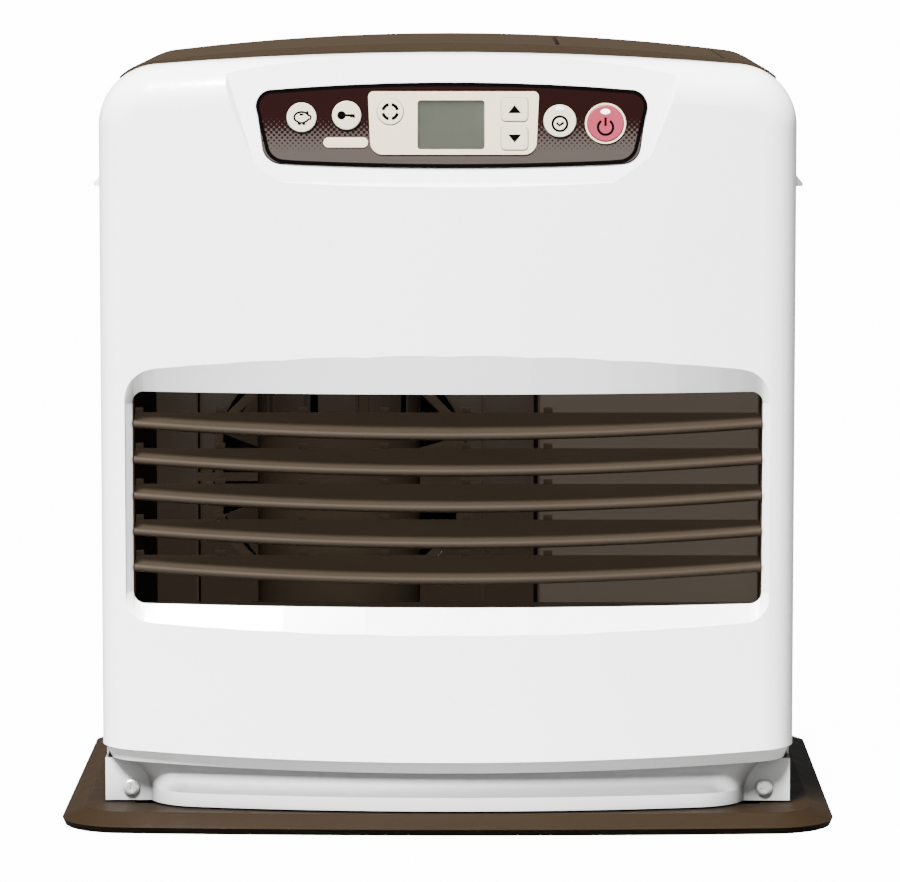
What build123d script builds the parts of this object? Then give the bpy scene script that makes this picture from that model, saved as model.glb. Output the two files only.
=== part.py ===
from build123d import *
from math import atan2, cos, pi, radians, sin, sqrt
import os

os.makedirs("parts", exist_ok=True)

# Driving sizes of the cabinet. X runs to the right, Y to the back and Z up, and the origin
# is on the floor under the middle of the drip tray.
cabinet_width = 384.0
cabinet_top = 426.2
crown_radius = 2000.0
shoulder_radius = 33.5
front_y = -135.5
front_bow_radius = 800.0
front_round = 23.0
panel_wall = 1.5
panel_back_y = -84.0
side_front_y = -85.0
cabinet_rear_y = 122.0
sheet = 1.2

# Lower edge of the front panel, its hem and the skirt under it
panel_bottom = 38.3
panel_bottom_rise = 4.6
hem_step = 1.2
hem_height = 7.0
hem_lean = 5.0
hem_lap = 2.0
base_bottom = 11.0
flap_y = -99.0
flap_top = 45.0
flange_front_y = -134.0
flange_bow_radius = 711.0
flange_half = 167.0
flange_height = 7.5
flange_round = 34.0
waist_y = -128.5
waist_half = 173.0
waist_height = 14.0
skirt_top_height = 29.0
skirt_gap = 0.3
corner_screw_x = 176.2
corner_screw_height = 7.4
corner_screw_radius = 4.6

# Drip tray
tray_width = 428.0
tray_depth = 299.0
tray_bow_radius = 2550.0
tray_front_corner = 36.0
tray_rear_corner = 20.0
tray_least_corner = 3.0
tray_rim_height = 3.6
tray_crest_height = 10.0
tray_foot_inset = 1.6
tray_crest_inset = 13.0
tray_wall_inset = 40.0
tray_floor_inset = 46.0
tray_floor = 2.2
foot_radius = 12.0
foot_side_gap = 8.0
foot_front_gap = 23.5
foot_rear_gap = 3.5

# Outlet opening and the sloped surround pressed round it
outlet_half = 173.5
outlet_low = 123.2
outlet_high = 240.9
outlet_corner = 6.5
surround_depth = 7.0
surround_margin = 4.5
surround_high = 262.2
surround_high_radius = 1620.0
surround_high_corner = 17.0
surround_low = 109.1
surround_low_radius = 3080.0
surround_low_corner = 14.0

# Control facet: a flat, tilted recess in the top of the front panel
facet_x = 2.3
facet_y = -130.5
facet_z = 356.0
facet_tilt = 10.0
facet_half = 104.0
facet_spread = 0.31
facet_foot = 1.0
facet_reach = 110.0
facet_corner = 14.0
facet_side_slope = 35.0
facet_top_drop = 1.8
facet_top_round = 12.0

# Fascia, measured on the facet: across, and up from the facet's foot
fascia_half_top = 107.0
fascia_half_foot = 101.6
fascia_top = 55.4
fascia_top_ends = 50.6
fascia_foot = 9.0
fascia_foot_ends = 11.7
fascia_corner_top = 8.0
fascia_corner_foot = 10.0
fascia_proud = 0.8
fascia_thick = 3.8
fascia_flange = 4.0
fascia_gap = 0.3
bezel_left = -45.5
bezel_right = 47.6
bezel_high = 50.6
bezel_low = 16.0
bezel_thick = 0.7
bezel_lean = 1.6
bezel_corner_top = 3.0
bezel_corner_foot = 7.0
display_x = -0.25
display_up = 32.3
display_width = 36.5
display_height = 26.8
display_corner = 1.6
window_thick = 1.8
module_margin = 3.6
board_depth = 12.4
board_thick = 1.6
board_half = 98.0
board_low = 14.0
board_high = 47.0
post_radius = 2.5
post_inset = 4.0
post_margin = 3.0

# Buttons: place on the fascia and radius, or width and height
economy_at = (-81.5, 36.3)
economy_radius = 8.1
lock_at = (-57.0, 37.4)
lock_radius = 7.9
ring_at = (-33.3, 39.4)
ring_radius = 7.2
timer_at = (58.9, 34.4)
timer_radius = 8.9
power_at = (83.7, 33.1)
power_radius = 9.9
power_rim = 1.0
arrow_x = 34.3
arrow_up_height = 40.6
arrow_down_height = 24.9
arrow_width = 14.6
arrow_height = 13.0
arrow_corner = 2.4
button_gap = 0.25
button_proud = 1.3
button_round = 0.5
button_flange = 0.9
flange_thick = 1.3
flange_gap = 0.3
stem_radius = 1.5
switch_size = 6.0
switch_height = 2.2
stem_gap = 0.3
stem_depth = 0.7
pill_at = (-57.5, 22.7)
pill_length = 24.2
pill_height = 5.5
pill_thick = 0.4

# Louvres
slat_count = 5
slat_pitch = 19.9
slat_first_z = 138.1
slat_front_y = -127.0
slat_rear_y = -93.0
slat_rise = 9.2
slat_bow = 18.0
slat_end_gap = 0.7
slat_thick = 1.2
bead_radius = 2.2
tab_count = 6
tab_first_x = -171.0
tab_pitch = 45.3
tab_width = 5.0
tab_height = 3.0
louvre_frame_y = -106.0
louvre_frame_lap = 6.5
louvre_frame_low = 112.0
louvre_frame_high = 252.0
louvre_window_low = 121.0
louvre_window_high = 243.0

# Top plate and the tank lid let into it
top_plate_top = 431.2
top_crown_radius = 1350.0
top_plate_half = 181.0
top_overhang = 3.0
lid_left = 62.0
lid_right = 152.0
lid_front_y = -78.0
lid_rear_y = 96.0
lid_gap = 0.8
lid_drop = 5.0
lid_rim = 1.5
hinge_inset = 2.0
hinge_below = 3.6
hinge_pin_radius = 1.25
hinge_fit = 0.06
knuckle_radius = 2.6
knuckle_length = 16.0
hinge_gap = 2.4
lug_length = 7.0
lug_width = 10.8
lug_outer = 4.0
knuckle_play = 0.4

# Side grips
grip_y = -8.0
grip_length = 92.0
grip_low = 318.0
grip_high = 352.0
grip_depth = 16.0
grip_wall = 1.5
hood_out = 8.0
hood_height = 11.0

# Rear: fan opening, guard, filter, inlet
fan_x = -65.0
fan_z = 170.0
fan_opening = 77.0
fan_radius = 70.0
fan_hub_radius = 18.0
fan_hub_length = 16.0
fan_front_y = 98.0
fan_blades = 5
fan_blade_thick = 1.6
blade_root_pitch = 50.0
blade_root_width = 16.0
blade_root_sink = 2.0
blade_tip_pitch = 24.0
blade_tip_width = 44.0
blade_tip_inset = 1.0
blade_flatness = 0.6
guard_radius = 86.0
guard_depth = 16.0
guard_wall = 2.5
guard_rings = 6
guard_spokes = 12
guard_bar = 1.6
filter_frame = 4.0
filter_thick = 3.0
filter_gap = 0.3
filter_cells = 13
filter_cell = 9.6
filter_bar = 1.0
shroud_half = 85.0
shroud_depth = 26.0
bracket_apothem = 74.0
bracket_strip = 5.0
motor_radius = 24.0
motor_length = 32.0
motor_shaft_radius = 3.0
shaft_fit = 0.05
gland_x = 150.0
gland_z = 40.0
gland_bore = 4.0
gland_body = 9.0
gland_flange = 12.0
gland_length = 14.0

# Heat box, burner and chamber
heat_left = -176.0
heat_right = 51.0
heat_low = 64.0
heat_high = 306.0
heat_front_y = -89.5
heat_leg = 6.0
heat_leg_right_x = -46.0
heat_sheet = 1.0
burner_x = -62.0
burner_y = -30.0
pot_radius = 36.0
pot_low = 52.0
pot_high = 102.0
pot_flange = 42.0
pot_wall = 3.0
head_radius = 30.0
head_height = 20.0
chamber_radius = 46.0
chamber_height = 170.0
chamber_wall = 1.2
chamber_slots = 10
chamber_slot_width = 8.0
chamber_slot_height = 60.0
shield_right = 172.0
igniter_radius = 3.0
igniter_length = 18.0
igniter_z = 90.0
flame_sensor_radius = 2.0
flame_sensor_length = 46.0
flame_sensor_out = 38.0

# Blower under the heat box
blower_x = -128.0
blower_radius = 36.0
blower_height = 26.0
blower_wall = 1.5
wheel_radius = 28.0
wheel_height = 18.0
wheel_vanes = 18
blower_lift = 3.0
blower_motor_radius = 17.0
air_tube_width = 20.0

# Fuel system
tank_left = 67.5
tank_right = 149.0
tank_front_y = -71.0
tank_rear_y = 89.0
tank_low = 62.0
tank_high = 398.0
tank_wall = 1.0
tank_corner = 14.0
cap_radius = 20.0
cap_height = 16.0
cap_grips = 12
cap_grip_radius = 0.6
cap_neck_rise = 4.0
cap_shoulder_gap = 2.0
cap_wall = 2.0
cap_neck_radius = 14.0
cap_neck_gap = 0.3
handle_width = 20.0
handle_height = 14.0
handle_span = 74.0
handle_bar = 7.0
gauge_width = 12.0
gauge_height = 46.0
gauge_thick = 2.0
sump_left = -38.0
sump_right = 182.0
sump_front_y = -62.0
sump_rear_y = 102.0
sump_high = 50.0
sump_wall = 1.5
receiver_radius = 27.0
receiver_wall = 2.5
strainer_radius = 23.0
strainer_wall = 1.2
strainer_height = 32.0
pump_x = 166.0
pump_radius = 13.0
pump_height = 36.0
pipe_z = 57.0
pipe_radius = 2.5

# Electrics
power_board_x = 166.0
power_board_low = 92.0
power_board_high = 262.0
power_board_front_y = -64.0
power_board_rear_y = 52.0
block_pitch_y = 30.0
block_pitch_z = 40.0
block_length = 16.0
block_height = 22.0
block_rise = 9.6
transformer_low = 274.0
transformer_high = 306.0
tip_x = -100.0
tip_y = 100.0
tip_housing = 18.0
tip_height = 34.0
tip_wall = 1.5
tip_weight_radius = 5.0
tip_weight_height = 8.0
tip_weight_z = 20.0
tip_pin_radius = 1.0
tip_pin_z = 40.0
tip_eye_radius = 2.6
sensor_x = 60.0
sensor_z = 250.0

# Worked-out places
cabinet_half = cabinet_width / 2
skin_half = cabinet_half - panel_wall
skin_inner = skin_half - sheet
rear_panel_y = cabinet_rear_y - sheet
pan_top = base_bottom + sheet
outlet_mid = (outlet_low + outlet_high) / 2
slat_half = outlet_half - slat_end_gap
louvre_frame_half = outlet_half + louvre_frame_lap
foot_inset = tray_floor_inset + foot_radius
foot_x = tray_width / 2 - foot_inset - foot_side_gap
foot_front_y = -tray_depth / 2 + foot_inset + foot_front_gap
foot_rear_y = tray_depth / 2 - foot_inset - foot_rear_gap
control_plane = Plane(
    origin=(facet_x, facet_y, facet_z),
    x_dir=(1, 0, 0),
    z_dir=(0, -cos(radians(facet_tilt)), sin(radians(facet_tilt))),
)
control_axis = Axis(control_plane.origin, control_plane.z_dir)


def bow(x, radius):
    """How far a bow of the given radius has fallen back at x."""
    return radius - sqrt(radius**2 - x**2)


def face_y(x):
    """Where the front panel's outer face lies at x."""
    return front_y + bow(x, front_bow_radius)


def finish(part, name):
    """Labels a finished piece and writes it."""
    part.label = name
    export_step(part, f"parts/{name}.step")


def arched_block(half, top, crown, corner, low, y_front, y_back):
    """A block with an arched top and rounded shoulders."""
    with BuildPart() as block:
        with BuildSketch(Plane.XZ.offset(-y_back)) as outline:
            shoulder = top - bow(half, crown)
            with BuildLine():
                Polyline((half, shoulder), (half, low), (-half, low), (-half, shoulder))
                ThreePointArc((-half, shoulder), (0, top), (half, shoulder))
            make_face()
            fillet(outline.vertices().group_by(Axis.Y)[-1], radius=corner)
        extrude(amount=y_back - y_front)
    return block.part


def skin_block(inset, y_front, y_back, low=base_bottom):
    """The cabinet's arched shape between two planes across Y, drawn in by inset."""
    return arched_block(
        cabinet_half - inset,
        cabinet_top - inset,
        crown_radius - inset,
        shoulder_radius - inset,
        low,
        y_front,
        y_back,
    )


def bowed_outline(half, y_centre, radius, corner, y_back):
    """Plan outline with a bowed front and, where a corner radius is given, rounded corners."""
    with BuildSketch() as outline:
        ends = y_centre + bow(half, radius)
        with BuildLine():
            Polyline((half, ends), (half, y_back), (-half, y_back), (-half, ends))
            ThreePointArc((-half, ends), (0, y_centre), (half, ends))
        make_face()
        if corner > 0:
            fillet(outline.vertices().group_by(Axis.Y)[0], radius=corner)
    return outline.sketch


def panel_outline(inset):
    """Plan outline of the front panel, drawn in by inset."""
    radius = front_bow_radius - inset
    return bowed_outline(
        cabinet_half - inset, front_y + inset, radius, front_round - inset, panel_back_y
    )


def panel_form(inset):
    """Solid form of the front panel before its recesses, drawn in by inset."""
    with BuildPart() as form:
        add(skin_block(inset, front_y + inset, panel_back_y, low=base_bottom))
        with BuildSketch(Plane.XY.offset(base_bottom)):
            half = cabinet_half + front_round
            add(bowed_outline(half, front_y + inset, front_bow_radius - inset, 0, panel_back_y))
        extrude(amount=cabinet_top, mode=Mode.INTERSECT)
        face = form.faces().sort_by(Axis.Y)[0]
        fillet(face.edges().sort_by(Axis.Z)[1:], radius=front_round - inset)
    return form.part


def control_cut(inset):
    """What the control facet takes out of the panel's form."""
    with BuildPart() as backing:
        add(skin_block(facet_top_drop + inset, front_y, panel_back_y))
        split(bisect_by=control_plane.offset(-inset), keep=Keep.BOTTOM)
        face = backing.faces().filter_by(lambda f: abs(f.normal_at().Y) > 0.9).sort_by(Axis.Y)[0]
        fillet(face.edges().sort_by(Axis.Z)[-1], radius=facet_top_round - inset)
    with BuildPart() as cut:
        with BuildSketch(control_plane.offset(-inset)) as outline:
            top_half = facet_half + facet_spread * facet_reach
            with BuildLine():
                Polyline(
                    (-facet_half, facet_foot),
                    (facet_half, facet_foot),
                    (top_half, facet_reach),
                    (-top_half, facet_reach),
                    close=True,
                )
            make_face()
            fillet(outline.vertices().group_by(Axis.Y)[0], radius=facet_corner)
            if inset > 0:
                offset(amount=inset)
        extrude(amount=4 * surround_depth, taper=-facet_side_slope)
        add(backing.part, mode=Mode.SUBTRACT)
    return cut.part


def rounded_end(x, half, corner):
    """How far an outline's edge has turned in at x, near its rounded end."""
    past = max(abs(x) - (half - corner), 0)
    return corner - sqrt(max(corner**2 - past**2, 0))


def surround_cut(grow):
    """What the sloped surround of the outlet takes out, as sections across X."""
    ahead = 3.0
    outer_half = outlet_half + surround_margin + grow
    inner_half = outlet_half + grow
    last = outer_half - surround_margin * 0.13
    half_stations = [0, 45, 90, 125, 150, outer_half - surround_high_corner]
    half_stations += [inner_half - outlet_corner, inner_half - 4, inner_half - 2, inner_half - 0.8]
    half_stations += [inner_half, inner_half + 1.2, inner_half + 2.4, inner_half + 3.3, last]
    stations = [-x for x in reversed(half_stations[1:])] + half_stations
    with BuildPart() as cut:
        for x in stations:
            depth = surround_depth + grow
            if abs(x) > inner_half:
                depth = surround_depth * (outer_half - abs(x)) / surround_margin + grow
            y_face = face_y(x)
            high_in = outlet_high + grow - rounded_end(min(abs(x), inner_half), inner_half, outlet_corner)
            low_in = outlet_low - grow + rounded_end(min(abs(x), inner_half), inner_half, outlet_corner)
            high_out = surround_high + grow - bow(x, surround_high_radius)
            high_out -= rounded_end(x, outer_half, surround_high_corner)
            low_out = surround_low - grow + bow(x, surround_low_radius)
            low_out += rounded_end(x, outer_half, surround_low_corner)
            reach = (depth + ahead) / depth
            high_ahead = high_in + (high_out - high_in) * reach
            low_ahead = low_in + (low_out - low_in) * reach
            with BuildSketch(Plane.YZ.offset(x)):
                with BuildLine():
                    Polyline(
                        (y_face - ahead, low_ahead),
                        (y_face - ahead, high_ahead),
                        (y_face + depth, high_in),
                        (y_face + depth, low_in),
                        close=True,
                    )
                make_face()
        loft(ruled=True)
    return cut.part


def fascia_outline(grow):
    """The fascia's outline on the facet, grown all round."""
    top_ends = fascia_top_ends
    foot_ends = fascia_foot_ends
    with BuildSketch() as outline:
        with BuildLine():
            Line((-fascia_half_foot, foot_ends), (-fascia_half_top, top_ends))
            ThreePointArc((-fascia_half_top, top_ends), (0, fascia_top), (fascia_half_top, top_ends))
            Line((fascia_half_top, top_ends), (fascia_half_foot, foot_ends))
            ThreePointArc((fascia_half_foot, foot_ends), (0, fascia_foot), (-fascia_half_foot, foot_ends))
        make_face()
        fillet(outline.vertices().sort_by(Axis.Y)[:2], radius=fascia_corner_foot)
        fillet(outline.vertices().sort_by(Axis.Y)[-2:], radius=fascia_corner_top)
        if grow > 0:
            offset(amount=grow)
    return outline.sketch


# Front panel: a bowed pressing with the control facet, the outlet surround and a lower hem
with BuildPart() as panel_cavity:
    add(panel_form(panel_wall))
    add(control_cut(panel_wall), mode=Mode.SUBTRACT)
    add(surround_cut(panel_wall), mode=Mode.SUBTRACT)

hem_rise = panel_bottom + panel_bottom_rise
with BuildPart() as hem:
    for wall, mode in ((0, Mode.ADD), (panel_wall, Mode.SUBTRACT)):
        with BuildSketch(Plane.XY.offset(panel_bottom - hem_height)):
            add(panel_outline(hem_step + hem_lean + wall))
        with BuildSketch(Plane.XY.offset(hem_rise + hem_lap)):
            add(panel_outline(hem_step + wall))
        loft(mode=mode)
    with BuildSketch(Plane.XZ.offset(-side_front_y)):
        with BuildLine():
            Line((-cabinet_half, hem_rise + hem_lap), (-cabinet_half, hem_rise - hem_height))
            ThreePointArc(
                (-cabinet_half, hem_rise - hem_height),
                (0, panel_bottom - hem_height),
                (cabinet_half, hem_rise - hem_height),
            )
            Line((cabinet_half, hem_rise - hem_height), (cabinet_half, hem_rise + hem_lap))
            ThreePointArc(
                (cabinet_half, hem_rise + hem_lap),
                (0, panel_bottom + hem_lap),
                (-cabinet_half, hem_rise + hem_lap),
            )
        make_face()
    extrude(amount=side_front_y - front_y, mode=Mode.INTERSECT)

with BuildPart() as front_panel:
    add(panel_form(0))
    add(control_cut(0), mode=Mode.SUBTRACT)
    add(surround_cut(0), mode=Mode.SUBTRACT)
    add(panel_cavity.part, mode=Mode.SUBTRACT)
    with BuildSketch(Plane.XZ.offset(-panel_back_y)):
        with Locations((0, outlet_mid)):
            RectangleRounded(2 * outlet_half, outlet_high - outlet_low, outlet_corner)
    extrude(amount=panel_back_y - front_y, mode=Mode.SUBTRACT)
    with BuildSketch(control_plane):
        add(fascia_outline(fascia_gap))
    extrude(amount=2 * panel_wall, both=True, mode=Mode.SUBTRACT)
    with BuildSketch(Plane.XZ.offset(-panel_back_y)):
        with BuildLine():
            Polyline(
                (-cabinet_half, hem_rise),
                (-cabinet_half, 0),
                (cabinet_half, 0),
                (cabinet_half, hem_rise),
            )
            ThreePointArc((cabinet_half, hem_rise), (0, panel_bottom), (-cabinet_half, hem_rise))
        make_face()
    extrude(amount=panel_back_y - front_y, mode=Mode.SUBTRACT)
    add(hem.part)
finish(front_panel.part, "front_panel")


# Lower skirt: a cove under the front panel, a foot flange and flat corner flaps
def skirt_form(inset):
    """Solid form of the skirt, drawn in by inset."""
    top_inset = hem_step + hem_lean + panel_wall + skirt_gap + inset
    back = side_front_y + flange_round
    flange = bowed_outline(
        flange_half - inset, flange_front_y + inset, flange_bow_radius, flange_round - inset, back
    )
    waist = bowed_outline(
        waist_half - inset, waist_y + inset, flange_bow_radius, flange_round - inset, back
    )
    top = bowed_outline(
        cabinet_half - top_inset, front_y + top_inset, front_bow_radius, front_round - top_inset, back
    )
    low = base_bottom + inset
    flange_top = base_bottom + flange_height
    with BuildPart() as form:
        with BuildSketch(Plane.XY.offset(low)):
            add(flange)
        extrude(amount=flange_top - low)
        with BuildSketch(Plane.XY.offset(flange_top)):
            add(flange)
        with BuildSketch(Plane.XY.offset(base_bottom + waist_height)):
            add(waist)
        with BuildSketch(Plane.XY.offset(base_bottom + skirt_top_height)):
            add(top)
        loft()
        with BuildSketch(Plane.XY.offset(base_bottom + skirt_top_height)):
            add(top)
        extrude(amount=flap_top - base_bottom - skirt_top_height)
        split(bisect_by=Plane.XZ.offset(-flap_y - inset), keep=Keep.TOP)
    return form.part


hem_low_at_side = hem_rise - hem_height - 3 * skirt_gap
with BuildPart() as lower_skirt:
    add(skirt_form(0))
    add(skirt_form(panel_wall), mode=Mode.SUBTRACT)
    with BuildSketch(Plane.XZ.offset(-flap_y - sheet)):
        with Locations((0, (base_bottom + hem_low_at_side) / 2)):
            Rectangle(2 * skin_half, hem_low_at_side - base_bottom)
    extrude(amount=sheet)
    for side in (-1, 1):
        with BuildSketch(Plane.XY.offset(base_bottom)):
            with Locations((side * (skin_half - sheet / 2), (flap_y + side_front_y) / 2)):
                Rectangle(sheet, side_front_y - flap_y)
        extrude(amount=hem_low_at_side - base_bottom)
        with BuildSketch(Plane.XZ.offset(-flap_y)):
            with Locations((side * corner_screw_x, base_bottom + corner_screw_height)):
                Circle(corner_screw_radius / 2.5)
        extrude(amount=-sheet, mode=Mode.SUBTRACT)
finish(lower_skirt.part, "lower_skirt")

# Two pan-head screws through the corner flaps
with BuildPart() as corner_screws:
    for side in (-1, 1):
        with BuildSketch(Plane.XZ.offset(-flap_y)):
            with Locations((side * corner_screw_x, base_bottom + corner_screw_height)):
                Circle(corner_screw_radius)
        extrude(amount=corner_screw_radius * 0.5)
        with BuildSketch(Plane.XZ.offset(-flap_y)):
            with Locations((side * corner_screw_x, base_bottom + corner_screw_height)):
                Circle(corner_screw_radius / 2.5)
        extrude(amount=-4 * sheet)
    heads = corner_screws.edges().group_by(Axis.Y)[0]
    fillet(heads, radius=corner_screw_radius * 0.35)
    for side in (-1, 1):
        with BuildSketch(Plane.XZ.offset(-flap_y + corner_screw_radius * 0.5)):
            with Locations((side * corner_screw_x, base_bottom + corner_screw_height)):
                Rectangle(corner_screw_radius, corner_screw_radius * 0.22)
                Rectangle(corner_screw_radius * 0.22, corner_screw_radius)
        extrude(amount=-corner_screw_radius * 0.3, mode=Mode.SUBTRACT)
finish(corner_screws.part, "corner_screws")


# Drip tray: a shallow pan with a rolled rim
def tray_outline(inset):
    """The tray's plan outline, drawn in by inset."""
    half = tray_width / 2 - inset
    y_front = -tray_depth / 2 + inset
    y_back = tray_depth / 2 - inset
    ends = y_front + bow(half, tray_bow_radius)
    with BuildSketch() as outline:
        with BuildLine():
            Polyline((half, ends), (half, y_back), (-half, y_back), (-half, ends))
            ThreePointArc((-half, ends), (0, y_front), (half, ends))
        make_face()
        rows = outline.vertices().group_by(Axis.Y)
        fillet(rows[0], radius=max(tray_front_corner - inset, tray_least_corner))
        fillet(rows[-1], radius=max(tray_rear_corner - inset, tray_least_corner))
    return outline.sketch


with BuildPart() as drip_tray:
    with BuildSketch():
        add(tray_outline(tray_foot_inset))
    with BuildSketch(Plane.XY.offset(tray_rim_height)):
        add(tray_outline(0))
    loft()
    with BuildSketch(Plane.XY.offset(tray_rim_height)):
        add(tray_outline(0))
    with BuildSketch(Plane.XY.offset(tray_crest_height)):
        add(tray_outline(tray_crest_inset))
    loft()
    with BuildSketch(Plane.XY.offset(tray_floor)):
        add(tray_outline(tray_floor_inset))
    with BuildSketch(Plane.XY.offset(tray_crest_height)):
        add(tray_outline(tray_wall_inset))
    loft(mode=Mode.SUBTRACT)
finish(drip_tray.part, "drip_tray")

# Rubber feet between the tray and the base pan
with BuildPart() as base_feet:
    with BuildSketch(Plane.XY.offset(tray_floor)):
        with Locations(*[(x, y) for x in (-foot_x, foot_x) for y in (foot_front_y, foot_rear_y)]):
            Circle(foot_radius)
    extrude(amount=base_bottom - tray_floor)
finish(base_feet.part, "base_feet")

# Base pan
with BuildPart() as base_pan:
    with BuildSketch(Plane.XY.offset(base_bottom)):
        with Locations((0, (flap_y + sheet + rear_panel_y) / 2)):
            Rectangle(2 * (skin_half - sheet), rear_panel_y - flap_y - sheet)
    extrude(amount=sheet)
finish(base_pan.part, "base_pan")


# Side panels with a rounded shoulder that turns in under the top plate
def grip_window():
    """The cut-out for a grip cup, through both sides."""
    with BuildPart() as window:
        with BuildSketch(Plane.YZ.offset(-cabinet_half)):
            with Locations((grip_y, (grip_low + grip_high) / 2)):
                Rectangle(grip_length, grip_high - grip_low)
        extrude(amount=cabinet_width)
    return window.part


with BuildPart() as skin_shell:
    add(skin_block(panel_wall, side_front_y, rear_panel_y))
    inner_low = base_bottom - sheet
    inner = skin_block(panel_wall + sheet, side_front_y - sheet, rear_panel_y + sheet, low=inner_low)
    add(inner, mode=Mode.SUBTRACT)
    add(grip_window(), mode=Mode.SUBTRACT)

shoulder_return = cabinet_half - shoulder_radius + sheet
for side, name in ((-1, "left_side_panel"), (1, "right_side_panel")):
    with BuildPart() as side_panel:
        add(skin_shell.part)
        split(bisect_by=Plane.YZ.offset(side * shoulder_return), keep=Keep.TOP if side > 0 else Keep.BOTTOM)
    finish(side_panel.part, name)

# Grip cups: a pocket for the fingers under a hood
with BuildPart() as side_grips:
    for side in (-1, 1):
        with BuildSketch(Plane.YZ.offset(side * (skin_half - grip_depth))):
            with Locations((grip_y, (grip_low + grip_high) / 2)):
                Rectangle(grip_length, grip_high - grip_low)
        extrude(amount=side * grip_depth)
        with BuildSketch(Plane.YZ.offset(side * (skin_half - grip_depth + grip_wall))):
            with Locations((grip_y, (grip_low + grip_high) / 2)):
                Rectangle(grip_length - 2 * grip_wall, grip_high - grip_low - 2 * grip_wall)
        extrude(amount=side * grip_depth, mode=Mode.SUBTRACT)
        with BuildSketch(Plane.XZ.offset(-grip_y - grip_length / 2)):
            low = grip_high - grip_wall
            with BuildLine():
                Polyline(
                    (side * skin_half, low),
                    (side * (skin_half + hood_out), low),
                    (side * (skin_half + hood_out), low + grip_wall),
                    (side * skin_half, low + hood_height),
                    close=True,
                )
            make_face()
        extrude(amount=grip_length)
    tips = side_grips.edges().filter_by(Axis.Z).sort_by(Axis.X)
    fillet(tips[:2] + tips[-2:], radius=hood_out * 0.7)
finish(side_grips.part, "side_grips")

# Rear panel with the fan opening and the inlet hole
with BuildPart() as rear_panel:
    add(skin_block(panel_wall, rear_panel_y, cabinet_rear_y))
    with BuildSketch(Plane.XZ.offset(-cabinet_rear_y)):
        with Locations((fan_x, fan_z)):
            Circle(fan_opening)
        with Locations((gland_x, gland_z)):
            Circle(gland_body)
    extrude(amount=sheet, mode=Mode.SUBTRACT)
finish(rear_panel.part, "rear_panel")


# Top plate and tank lid, cut from one arched sheet
def top_z(x):
    """Height of the top plate's outer face at x, inside its shoulders."""
    return top_plate_top - bow(x, top_crown_radius)


hinge_x = lid_left + hinge_inset
hinge_z = top_z(hinge_x) - hinge_below
lid_ends = ((lid_front_y, 1), (lid_rear_y, -1))
knuckle_start = lug_length + knuckle_play
plate_under = hinge_z + hinge_below - top_overhang
with BuildPart() as top_form:
    top_rear_y = cabinet_rear_y + top_overhang
    block = arched_block(
        cabinet_half, top_plate_top, top_crown_radius, shoulder_radius, base_bottom, panel_back_y, top_rear_y
    )
    add(block)
    add(skin_block(panel_wall, panel_back_y, top_rear_y, low=base_bottom), mode=Mode.SUBTRACT)
    split(bisect_by=Plane.YZ.offset(top_plate_half), keep=Keep.BOTTOM)
    split(bisect_by=Plane.YZ.offset(-top_plate_half), keep=Keep.TOP)

with BuildPart() as lid_space:
    with BuildSketch(Plane.XY.offset(tank_high)):
        left = hinge_x - hinge_inset - hinge_gap
        with Locations(((left + lid_right + lid_gap) / 2, (lid_front_y + lid_rear_y) / 2)):
            Rectangle(lid_right + lid_gap - left, lid_rear_y - lid_front_y + 2 * lid_gap)
        for end, inward in lid_ends:
            with Locations((left + lug_width / 2, end + inward * (lug_length - lid_gap) / 2)):
                Rectangle(lug_width, lug_length + lid_gap, mode=Mode.SUBTRACT)
    extrude(amount=2 * shoulder_radius)

with BuildPart() as top_plate:
    add(top_form.part)
    add(lid_space.part, mode=Mode.SUBTRACT)
    for end, inward in lid_ends:
        with BuildSketch(Plane.XY.offset(hinge_z - knuckle_radius)):
            left = hinge_x - hinge_inset - hinge_gap - lug_outer
            right = hinge_x + knuckle_radius
            y_low = end - inward * lug_outer
            y_high = end + inward * lug_length
            with Locations(((left + right) / 2, (y_low + y_high) / 2)):
                Rectangle(right - left, abs(y_high - y_low))
        extrude(amount=plate_under - hinge_z + knuckle_radius + lid_rim)
    with BuildSketch(Plane.XZ.offset(-lid_rear_y - lug_outer)):
        with Locations((hinge_x, hinge_z)):
            Circle(hinge_pin_radius)
    extrude(amount=lid_rear_y - lid_front_y + 2 * lug_outer, mode=Mode.SUBTRACT)
finish(top_plate.part, "top_plate")

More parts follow.
